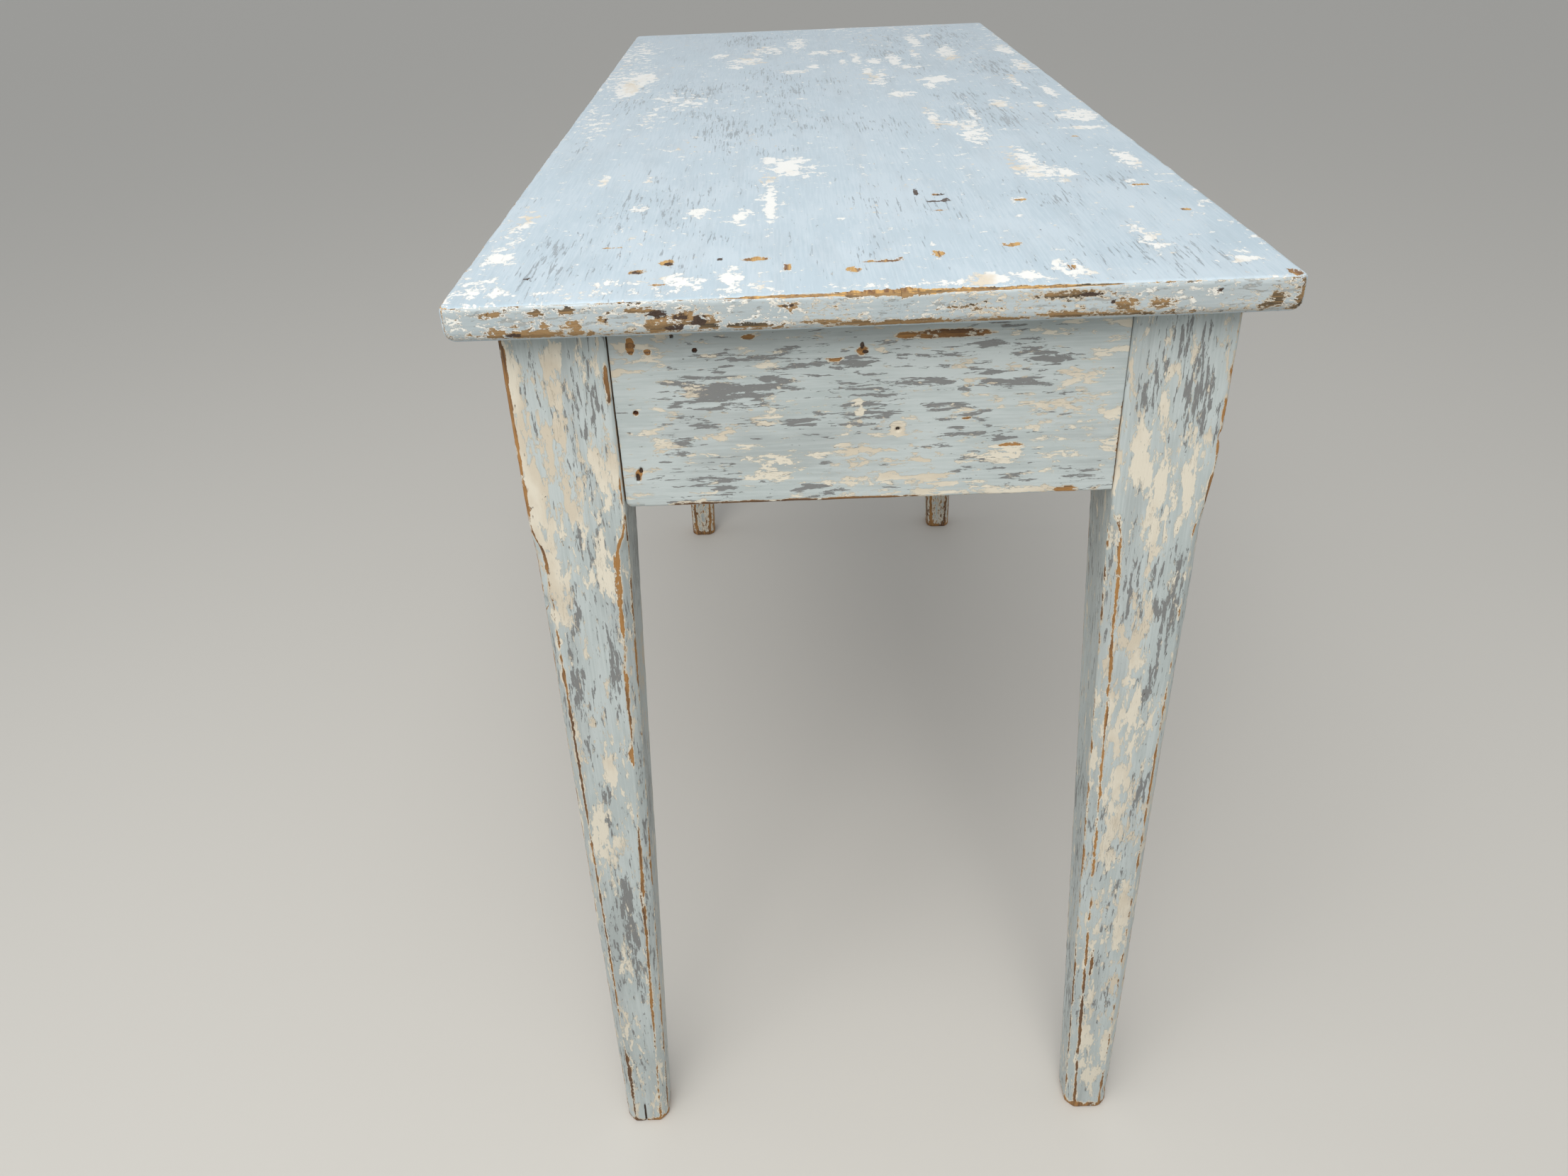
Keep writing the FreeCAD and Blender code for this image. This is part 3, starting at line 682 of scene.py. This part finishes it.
def top_board(side_name, outer, materials):
    node = f"{side_name}_top_board"
    low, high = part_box(node)
    top_low, top_high = table_top_box()
    points, faces = block(low, high, TOP_PITCH)
    fields, strip = top_fields(points, top_low, top_high)
    moved, out = rounded_top(points, top_low, top_high)
    arris = to_arris(points, top_low, top_high)
    rough = np.abs(rough_noise(points, 220, 9.0))
    sunk = 0.5 * MM * np.exp(-arris / (2 * MM)) * rough + 0.5 * MM * strip * (0.5 + rough)
    sunk += 0.35 * MM * np.clip(fields["wood"], 0, 1) * (out[:, 2] > 0.9)
    moved -= out * sunk[:, None]
    joint = low[0] if outer > 0 else high[0]
    by_near_end = 0.25 + 0.75 * smooth_step(0.40, 0.52, -points[:, 1])
    groove = JOINT_GROOVE * np.exp(-np.abs(points[:, 0] - joint) / (0.6 * MM)) * by_near_end
    moved[:, 2] -= groove * out[:, 2]
    piece = make_piece(f"{side_name}_board", moved, faces, materials, node, fields)
    turned = np.zeros(len(faces) * 3)
    piece.data.polygons.foreach_get("normal", turned)
    ends = np.abs(turned.reshape(-1, 3)[:, 1]) > END_FACE_SHARE
    piece.data.polygons.foreach_set("material_index", ends.astype(np.int32))


def table_top_box():
    left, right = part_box("left_top_board"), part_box("right_top_board")
    return left[0], right[1]


# ---- Legs ----

FOOT_WIDTH = 37 * MM
TAPER_TOP = 636 * MM
CHAMFER = 7 * MM
HEAD_ARRIS = 1.2 * MM
STOP_FROM, STOP_TO = 602 * MM, 624 * MM
FOOT_ROUND = 2.4 * MM
WORN_WIDTH, ARRIS_LOSS = 1.7 * MM, 0.75 * MM  # of a worn arris
ON_FRONT = 0.5 * MM  # a point this near the front lies on it
CAP_RINGS = (0.92, 0.75, 0.5, 0.25)  # sizes of the rings that close a leg's ends
FACE_LINES = np.array([0, 0.6, 1.4, 2.6, 4.2, 6.5, 9.0]) / 44  # shares of a face
CHAMFER_LINES = np.linspace(0, 1, 8)[1:-1]

# Marks on the front faces of the two near legs: centre x, centre z, half width, half height.
LEG_WOOD = {
    "near_left": (
        (-218, 738, 2.2, 17), (-219, 690, 1.4, 16), (-217, 603, 2.5, 9), (-215, 564, 3, 8),
        (-213, 415, 1.8, 115), (-213, 66, 3.5, 42), (-158, 722, 1.8, 14), (-172, 432, 3, 10),
        (-157, 650, 1.5, 12), (-213, 220, 1.5, 90), (-167, 560, 1.8, 50), (-170, 470, 1.5, 44),
        (-180, 250, 1.3, 60), (-184, 130, 1.6, 50),
    ),
    "near_right": (
        (162, 600, 2.6, 20), (166, 545, 2.6, 45), (169, 485, 2.4, 26), (171, 440, 1.8, 34),
        (187, 190, 1.6, 26), (216, 200, 1.6, 30), (205, 4, 22, 5), (219, 672, 2, 6),
        (191, 4, 8, 6),
    ),
}  # fmt: skip
LEG_CREAM = {
    "near_left": (
        (-170, 660, 13, 24), (-213, 640, 6, 54), (-175, 600, 6, 30), (-196, 690, 9, 26),
        (-214, 720, 5, 30), (-168, 735, 6, 18), (-205, 560, 6, 20), (-190, 425, 5, 26),
        (-203, 350, 4, 40), (-198, 215, 4, 30), (-207, 130, 4, 40), (-192, 725, 12, 22),
        (-186, 640, 9, 26),
    ),
    "near_right": (
        (181, 694, 3, 14), (185, 610, 8, 42), (184, 530, 9, 34), (188, 450, 9, 50),
        (188, 370, 8, 50), (186, 318, 7, 22), (205, 640, 4, 30), (206, 250, 5, 40),
        (190, 120, 5, 40), (212, 90, 5, 30), (200, 45, 8, 18), (171, 660, 5, 20),
    ),
}  # fmt: skip
LEG_GREY = {
    "near_left": (
        (-179, 606, 4, 12), (-188, 615, 3, 12), (-176, 520, 4, 22), (-203, 492, 4, 30),
        (-192, 270, 5, 38), (-198, 560, 4, 20), (-204, 440, 3, 24), (-196, 380, 4, 28),
        (-190, 180, 4, 26), (-199, 330, 4, 20),
    ),
    "near_right": (
        (167, 698, 4, 12), (199, 690, 7, 44), (181, 614, 4, 9), (205, 375, 6, 28),
        (188, 322, 6, 24), (198, 252, 8, 44), (176, 720, 4, 18), (188, 735, 4, 14),
        (206, 560, 4, 30), (199, 480, 4, 26), (203, 150, 4, 26), (176, 570, 2, 20),
    ),
}  # fmt: skip
# Notches in a leg's outer corner: height, half height and depth, in millimetres.
LEG_NOTCHES = {"near_left": ((564, 7, 2.6),), "near_right": ((671, 5, 1.6), (20, 6, 1.5))}
# How much an outer corner has lost, in millimetres, and the heights between which it grows.
CORNER_WEAR = {"near_left": 1.0, "near_right": 4.0}
USUAL_CORNER_WEAR = 0.6
WORN_FROM, WORN_TO = 655 * MM, 612 * MM
CRACKED_LEG = "near_left"
CRACK_SHARE, CRACK_HALF = 0.42, 0.026  # its place across the face and half its width, as shares
CRACK_LINES = np.array([-0.045, -0.025, 0, 0.025, 0.045])  # shares of the face
CRACK_TOP, CRACK_DEPTH, CRACK_DARK = 30 * MM, 1.96 * MM, 1.4


def leg_rows():
    """Heights of a leg's rows of points."""
    foot = [0, 0.3, 0.8, 1.6, 2.8, 4.4, 6.4]
    taper, stop, upper = np.arange(9, 596, 2.6), np.arange(597, 640, 1.3), np.arange(641, 757, 2.6)
    head = [757.6, 758]
    return np.concatenate([foot, taper, stop, upper, head]) * MM


def face_shares(cracked):
    inner = np.linspace(FACE_LINES[-1], 1 - FACE_LINES[-1], 12)
    shares = np.concatenate([FACE_LINES, inner, 1 - FACE_LINES])
    if cracked:
        shares = np.concatenate([shares, CRACK_SHARE + CRACK_LINES])
    return np.unique(np.round(shares, 4))


def octagon(width, chamfer, shares):
    """A ring of points round a leg at each height, from its outer corner inwards, with each
    point's distance to the nearest arris."""
    w, c = width[:, None], chamfer[:, None]
    zero = 0 * w
    inner = w - c
    corners = [(c, zero), (inner, zero), (w, c), (w, inner), (inner, w), (c, w), (zero, inner), (zero, c)]
    rings, arrises = [], []
    for i, (a, b) in enumerate(corners):
        a2, b2 = corners[(i + 1) % 8]
        is_chamfer = i % 2 == 1
        share = (np.append(0.0, CHAMFER_LINES) if is_chamfer else shares[:-1])[None]
        rings.append(np.stack([a + (a2 - a) * share, b + (b2 - b) * share], -1))
        length = np.hypot(a2 - a, b2 - b)
        arrises.append(np.minimum(share, 1 - share) * length)
    return np.concatenate(rings, 1), np.concatenate(arrises, 1)


def leg_wear(name, points, arris, front, corner):
    """How worn each point of a leg is, 0 to 1, and how far it lies below the sharp shape."""
    z = points[:, 2]
    off_side, off_end = np.abs(points[:, :2] - corner).T
    foot = np.clip(FOOT_ROUND * (1 + 0.5 * rough_noise(points, 60)) - z, 0, None)
    slow = rough_noise(points * (1, 1, 0.35), 45)
    fast = rough_noise(points * (1, 1, 0.4), 210, 3.0)
    amount = 0.56 + 0.08 * front + 0.65 * slow + 0.5 * fast
    worn = np.exp(-((arris / WORN_WIDTH) ** 2)) * np.clip(amount, 0, 1)
    sunk = ARRIS_LOSS * worn + 0.55 * foot
    outer_edge = np.exp(-off_side / (5 * MM))
    for height, half, depth in LEG_NOTCHES.get(name, ()):
        bite = 1 - smooth_step(0.4, 1.0, np.abs(z / MM - height) / half)
        sunk += depth * MM * bite * outer_edge * (off_end < 9 * MM)
    lost = smooth_step(-WORN_FROM, -WORN_TO, -z) * smooth_step(60 * MM, 420 * MM, z)
    by_front = np.exp(-off_end / (9 * MM))
    sunk += CORNER_WEAR.get(name, USUAL_CORNER_WEAR) * MM * lost * outer_edge * by_front
    return worn, sunk


def leg(name, side, end, material):
    """A leg from the floor to the underside of the top, without its mortises."""
    node = f"{name}_leg"
    low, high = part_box(node)
    corner = np.array([low[0] if side < 0 else high[0], low[1] if end < 0 else high[1]])
    towards = np.array([side, end])
    rows = leg_rows()
    width = np.interp(rows, [0, TAPER_TOP], [FOOT_WIDTH, high[0] - low[0]])
    chamfer = CHAMFER + (HEAD_ARRIS - CHAMFER) * smooth_step(STOP_FROM, STOP_TO, rows)
    shares = face_shares(name == CRACKED_LEG)
    ring, arris = octagon(width, chamfer, shares)
    count, around = arris.shape
    arris = arris.reshape(-1)

    flat = corner - towards * ring
    heights = np.repeat(rows[:, None], around, 1)
    points = np.concatenate([flat, heights[..., None]], -1).reshape(-1, 3)
    middle = corner - towards * width[:, None] / 2
    away = flat - middle[:, None]
    away /= np.linalg.norm(away, axis=-1, keepdims=True)
    out = np.concatenate([away, np.zeros((count, around, 1))], -1).reshape(-1, 3)

    front = np.abs(points[:, 1] - corner[1]) < ON_FRONT
    worn, sunk = leg_wear(name, points, arris, front, corner)
    crack = np.zeros(len(points))
    if name == CRACKED_LEG:
        in_crack = np.zeros((count, around), bool)
        in_crack[:, : len(shares) - 1] = np.abs(shares[:-1] - CRACK_SHARE) < CRACK_HALF
        crack = in_crack.ravel() * (1 - smooth_step(0.6 * CRACK_TOP, CRACK_TOP, heights.ravel()))
    points = points - out * (sunk + CRACK_DEPTH * crack)[:, None]

    inward = (corner - points[:, :2]) * towards
    width_there = np.repeat(width, around)
    fields = leg_fields(name, points, inward, width_there, arris, front, worn, end > 0)
    fields["dark"] = CRACK_DARK * crack
    caps, faces = close_rings(points, count, around)
    for key in fields:
        on_caps = np.full(len(caps), 1.0 if key == "bare" else 0.0)
        fields[key] = np.concatenate([fields[key], on_caps])
    points = np.concatenate([points, caps])
    make_piece(name + "_post", points, faces, [material], node, fields)


def close_rings(points, count, around):
    """Quads between rings of points, and smaller rings and a middle point to close both ends.
    Gives the added points and a list of all the faces."""
    index = np.arange(count * around).reshape(count, around)
    after = np.roll(index, -1, axis=1)
    quads = np.stack([index[:-1], after[:-1], after[1:], index[1:]], -1).reshape(-1, 4)
    faces = quads.tolist()
    caps = []
    total = count * around
    for row, flip in ((0, True), (count - 1, False)):
        ring = index[row]
        edge = points[ring]
        middle = edge.mean(0)
        last = ring
        for share in CAP_RINGS:
            caps.append(middle + (edge - middle) * share)
            new = np.arange(total, total + around)
            total += around
            a, b = last, np.roll(last, -1)
            c, d = np.roll(new, -1), new
            quad = np.stack([a, d, c, b] if flip else [a, b, c, d], -1)
            faces += quad.tolist()
            last = new
        caps.append(middle[None])
        b = np.roll(last, -1)
        mid = np.full(around, total)
        total += 1
        faces += np.stack([last, mid, b] if flip else [last, b, mid], -1).tolist()
    return np.concatenate(caps), faces


def leg_fields(name, points, inward, width, arris, front, worn, is_far):
    """Where the paint of a leg has worn. inward is how far each point lies in from the leg's two
    outer faces, and width is the leg's width at that height."""
    z = points[:, 2]
    slow = rough_noise(points * (1, 1, 0.3), 26, 8.0)
    wood = 0.92 * worn + 0.16 * np.exp(-arris / (2.2 * MM)) * (0.7 + 0.6 * slow)
    by_apron = (inward.min(1) < 3 * MM) & (inward.max(1) > width - 6 * MM)
    wood *= 1 - 0.8 * by_apron * smooth_step(TAPER_TOP - 10 * MM, TAPER_TOP, z)
    foot = 1 - smooth_step(0, 60 * MM, z)
    far_leg = 0.42 * is_far * (1 - smooth_step(60 * MM, 300 * MM, z))
    wood += 0.12 * foot + far_leg
    wood += 0.7 * (1 - smooth_step(1 * MM, 8 * MM, z + 3 * MM * slow))
    wood = np.maximum(wood, 0.82 * front * spots(points, LEG_WOOD.get(name, ()), (0, 2), 0.5))
    cream = -0.02 + 0.28 * np.exp(-arris / (4 * MM))
    cream += 0.72 * front * spots(points, LEG_CREAM.get(name, ()), (0, 2), 0.7)
    grey = -0.10 + 0.60 * front * spots(points, LEG_GREY.get(name, ()), (0, 2), 0.7)
    grey -= 0.2 * np.exp(-arris / (3 * MM))
    inside = (inward.max(1) > width - 1 * MM) & (inward.min(1) > 3 * MM)
    bare = inside * smooth_step(TAPER_TOP - 4 * MM, TAPER_TOP + 12 * MM, z)
    return {"wood": wood, "cream": cream, "grey": grey, "bare": bare}


# ---- Aprons ----

APRON_PITCH, FINE_PITCH = 2.6 * MM, 1.6 * MM  # mesh spacing, and that of the near end apron
APRON_ARRIS = 1.6 * MM
END_ARRIS = 0.3 * MM  # where an apron meets a leg
# Marks on the near end apron: centre x, centre z, half width, half height, in millimetres.
APRON_GREY = (
    (-82, 714, 34, 8), (-111, 722, 18, 3), (-82, 702, 27, 2.5), (-116, 678, 9, 7), (2, 696, 17, 11),
    (69, 693, 10, 4.5), (124, 698, 17, 7), (82, 678, 28, 4.5), (111, 732, 12, 7), (-27, 664, 6, 7),
    (-64, 656, 11, 8), (-93, 654, 11, 10), (-32, 645, 19, 5), (59, 708, 4, 3), (-86, 735, 16, 3),
    (30, 715, 22, 3), (-40, 690, 14, 4), (92, 712, 20, 3), (20, 645, 24, 2.5), (-20, 728, 24, 2.5),
    (45, 698, 9, 3), (70, 662, 12, 2), (126, 679, 9, 4), (-70, 692, 14, 3), (-100, 692, 10, 3),
)  # fmt: skip
APRON_CREAM = (
    (75, 663, 27, 8), (121, 716, 8, 8), (-6, 698, 3, 9), (-2, 670, 22, 3),
    (-111, 718, 17, 3), (55, 728, 10, 4), (37, 650, 14, 3), (-60, 729, 20, 2.5), (90, 640, 40, 3),
    (-104, 711, 12, 3), (62, 645, 18, 3), (62, 716, 18, 3), (-118, 698, 8, 3),
)  # fmt: skip
APRON_WOOD = (
    (44, 744.5, 31, 3.2), (-142, 744, 3, 6), (-132, 740, 3, 2), (-72, 747, 5, 1.6), (-21, 731, 6, 1.4),
    (75, 712, 4, 1.2), (89, 671, 8, 1.4), (126, 638, 8, 3), (-145, 659, 2.2, 4.2), (-40, 637, 88, 1.8),
    (-90, 752, 22, 1.5), (100, 752, 24, 1.5), (-143, 701, 2.1, 1.9), (60, 690, 3, 1), (-4, 736, 4, 3),
)  # fmt: skip
APRON_DARK = ((-117, 749, 1.4, 1.4), (-104, 740, 1.5, 1.5), (-4, 739, 1.4, 2.4), (-2, 735, 2.0, 1.2))
# Holes in its face: x, z, half width, half height, depth, in millimetres.
APRON_HOLES = (
    (-143, 701, 1.9, 1.7, 2.6), (-146, 657, 1.8, 3.4, 1.8), (-143.5, 662, 1.6, 2.6, 1.6),
    (-104, 740, 1.5, 1.5, 2.0), (18, 684, 2.0, 1.6, 2.6), (-3, 737, 1.8, 2.8, 1.0),
    (-142, 743, 2.2, 4.6, 0.7), (-117, 749, 1.2, 1.2, 1.2),
)  # fmt: skip
RING_MARK = (18, 684, 4.6, 4.4)
DARK_HOLE = 1.5  # a hole deeper than this, in millimetres, is dark inside
HOLE_LINES = np.array([-3, -2.2, -1.4, -0.6, 0.6, 1.4, 2.2, 3])  # millimetres from a hole's middle
INNER_FROM = 21.5 * MM  # this deep below its outer face, an apron is bare wood
CORNER_ROUND = 4 * MM  # the near end apron's lower left corner
SHRUNK_JOINT = 0.6 * MM  # the open joint at the near end apron's left end


def apron_box(name, length_axis):
    """An apron between the legs' shoulders, without its tenons."""
    low, high = (np.array(c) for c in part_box(name))
    last = "near_right_leg" if length_axis == 0 else "far_left_leg"
    low[length_axis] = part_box("near_left_leg")[1][length_axis]
    high[length_axis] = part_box(last)[0][length_axis]
    return low, high


def hole_lines():
    """Lines that give the near end apron's holes their shape, along each axis."""
    x_lines = [(x + HOLE_LINES) * MM for x, *_ in APRON_HOLES]
    z_lines = [(z + HOLE_LINES) * MM for _, z, *_ in APRON_HOLES]
    return np.concatenate(x_lines), (), np.concatenate(z_lines)


def mark_near_end(points, low, high, outer, fields):
    """Adds the near end apron's own marks to its fields. Gives how deep its holes are."""
    depths = np.zeros(len(points))
    for x, z, half_x, half_z, depth in APRON_HOLES:
        away = np.hypot((points[:, 0] / MM - x) / half_x, (points[:, 2] / MM - z) / half_z)
        depths += outer * depth * MM * (1 - smooth_step(0.55, 1.05, away))
        hollow = outer * (1 - smooth_step(0.5, 0.95, away)) * (depth > DARK_HOLE)
        fields["dark"] = np.maximum(fields["dark"], hollow)
    bared = 0.8 * outer * spots(points, APRON_WOOD, (0, 2))
    fields["wood"] = np.maximum(fields["wood"], bared)
    fields["dark"] = np.maximum(fields["dark"], outer * spots(points, APRON_DARK, (0, 2)))
    by_leg = np.minimum(points[:, 0] - low[0], high[0] - points[:, 0])
    clean = 1 - smooth_step(14 * MM, 34 * MM, by_leg)
    fields["cream"] += 0.75 * spots(points, APRON_CREAM, (0, 2), 0.6) - 0.3 * clean - 0.14
    fields["cream"] = np.maximum(fields["cream"], 1.2 * spots(points, (RING_MARK,), (0, 2)))
    fields["grey"] += 0.68 * spots(points, APRON_GREY, (0, 2), 0.7) - 0.3 * clean - 0.08
    return depths


def apron(name, length_axis, sign, material, pitch, near=False):
    """An apron. length_axis is 0 or 1, and sign says which way its face looks on the other one."""
    low, high = apron_box(name, length_axis)
    if near:
        low[0] += SHRUNK_JOINT
    points, faces = block(low, high, pitch, hole_lines() if near else ((), (), ()))
    radii = np.full((len(points), 3), APRON_ARRIS) * (1 + 0.4 * rough_noise(points, 40))[:, None]
    radii[:, length_axis] = END_ARRIS
    if near:
        by_corner = (points[:, 0] < low[0] + 12 * MM) & (points[:, 2] < low[2] + 12 * MM)
        radii[by_corner, 0] = radii[by_corner, 2] = CORNER_ROUND
    moved, out = rounded(points, low, high, radii)
    arris = to_arris(points, low, high)

    face_axis = 1 - length_axis
    outer = points[:, face_axis] * sign > np.abs([low, high]).max(0)[face_axis] - ON_FACE
    stretch = np.ones(3)
    stretch[length_axis] = 0.3
    slow = rough_noise(points * stretch, 30, 4.0)
    fast = rough_noise(points * stretch, 200, 6.0)
    up = points[:, 2] - low[2]
    lower = up < 0.5 * (high[2] - low[2])
    worn = np.exp(-arris / (1.6 * MM)) * np.clip(0.4 + 0.5 * slow + 0.4 * fast, 0, 1) * lower
    depth = np.abs(points[:, face_axis] - (high if sign > 0 else low)[face_axis])
    bare = np.where(depth > INNER_FROM, smooth_step(0, 10 * MM, up + 4 * MM * slow), 0.0)
    fields = {
        "wood": 0.95 * worn,
        "cream": -0.08 + 0.3 * np.exp(-up / (6 * MM)),
        "grey": np.full(len(points), -0.08),
        "dark": np.zeros(len(points)),
        "bare": np.maximum(bare, points[:, 2] > high[2] - ON_FACE),
    }
    sunk = 0.7 * MM * worn
    if near:
        sunk += mark_near_end(points, low, high, outer, fields)
    moved -= out * sunk[:, None]
    make_piece(name + "_rail", moved, faces, [material], name, fields)


# ---- The inside ----

NAIL_SINK = 1.6 * MM
NAIL_EDGE, INNER_EDGE = 0.4 * MM, 0.9 * MM  # widths of the bevels
WELD_REACH = 0.02 * MM
EDGE_ANGLE = 50  # degrees: a sharper edge is bevelled


def soften(node, width):
    """Breaks the sharp edges of a CAD piece."""
    weld = node.modifiers.new("weld", "WELD")
    weld.merge_threshold = WELD_REACH
    bevel = node.modifiers.new("bevel", "BEVEL")
    bevel.width = width
    bevel.segments = 2
    bevel.limit_method = "ANGLE"
    bevel.angle_limit = math.radians(EDGE_ANGLE)


def give(node_name, material, edge=None):
    """A material for a CAD piece, and the width of its softened edges if it has any."""
    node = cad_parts[node_name]
    node.data.materials.clear()
    node.data.materials.append(material)
    if edge:
        soften(node, edge)


def sunk_nails(node_name, inward, material):
    """Nails like the CAD's, driven a little below the face."""
    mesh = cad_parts[node_name].data.copy()
    points = np.zeros(len(mesh.vertices) * 3)
    mesh.vertices.foreach_get("co", points)
    points = points.reshape(-1, 3) + np.array(inward) * NAIL_SINK
    mesh.vertices.foreach_set("co", points.ravel())
    mesh.materials.clear()
    mesh.materials.append(material)
    piece = bpy.data.objects.new(node_name.replace("_apron", ""), mesh)
    bpy.context.scene.collection.objects.link(piece)
    soften(piece, NAIL_EDGE)
    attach(piece, BODY)
    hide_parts(node_name)


def make_floor():
    mesh = bpy.data.meshes.new("floor")
    half = FLOOR_SIZE / 2
    corners = [(-half, -half, 0), (half, -half, 0), (half, half, 0), (-half, half, 0)]
    mesh.from_pydata(corners, [], [(0, 1, 2, 3)])
    floor = bpy.data.objects.new("floor", mesh)
    bpy.context.scene.collection.objects.link(floor)
    graph = Graph("floor")
    graph.shader.inputs["Base Color"].default_value = (*FLOOR_COLOUR, 1)
    graph.shader.inputs["Roughness"].default_value = 0.9
    mesh.materials.append(graph.material)


# ---- Put together ----

make_camera()
make_lights()
make_floor()

# The top's main material takes the lighter, bluer colours, which paint in the light of the sky on the
# top.
top_materials = [
    painted(
        "paint_top", "y", SKY_LIT_TOP_PAINT, (520, 15), (105, 1.2), 0.76, 0.40,
        wash_strength=0.11, rim_edge=0.50,
    ),
    painted(
        "paint_top_ends", "x", END_PAINT, (330, 4), (280, 2.6), 0.7, 0.0, (450, 2),
        raggedness=0.58,
    ),
]
leg_paint = painted("paint_legs", "z", FRAME_PAINT, (430, 7.0), (170, 3.6))
end_paint = painted("paint_end_aprons", "x", FRAME_PAINT, (340, 7.0), (150, 3.6))
side_paint = painted("paint_side_aprons", "y", FRAME_PAINT, (340, 7.0), (150, 3.6))
rust = rusty("rusty_steel")
woods = {axis: bare_wood(f"bare_wood_{axis}", axis) for axis in "xyz"}

for side_name, side in SIDES.items():
    top_board(side_name, side, top_materials)
    apron(f"{side_name}_side_apron", 1, side, side_paint, APRON_PITCH)
    sunk_nails(f"{side_name}_apron_nails", (-side, 0, 0), rust)
for end_name, end in ENDS.items():
    near = end < 0
    apron(f"{end_name}_end_apron", 0, end, end_paint, FINE_PITCH if near else APRON_PITCH, near)
    sunk_nails(f"{end_name}_apron_nails", (0, -end, 0), rust)
    give(f"{end_name}_end_cleat", woods["x"], INNER_EDGE)
    for side_name, side in SIDES.items():
        leg(f"{end_name}_{side_name}", side, end, leg_paint)
        give(f"{end_name}_{side_name}_corner_block", woods["z"], INNER_EDGE)
        give(f"{end_name}_{side_name}_cleat", woods["y"], INNER_EDGE)
give("cross_bearer", woods["x"], INNER_EDGE)
give("top_dowels", woods["x"])
for name in ("end_cleat_screws", "side_cleat_screws", "bearer_screws"):
    give(name, rust)
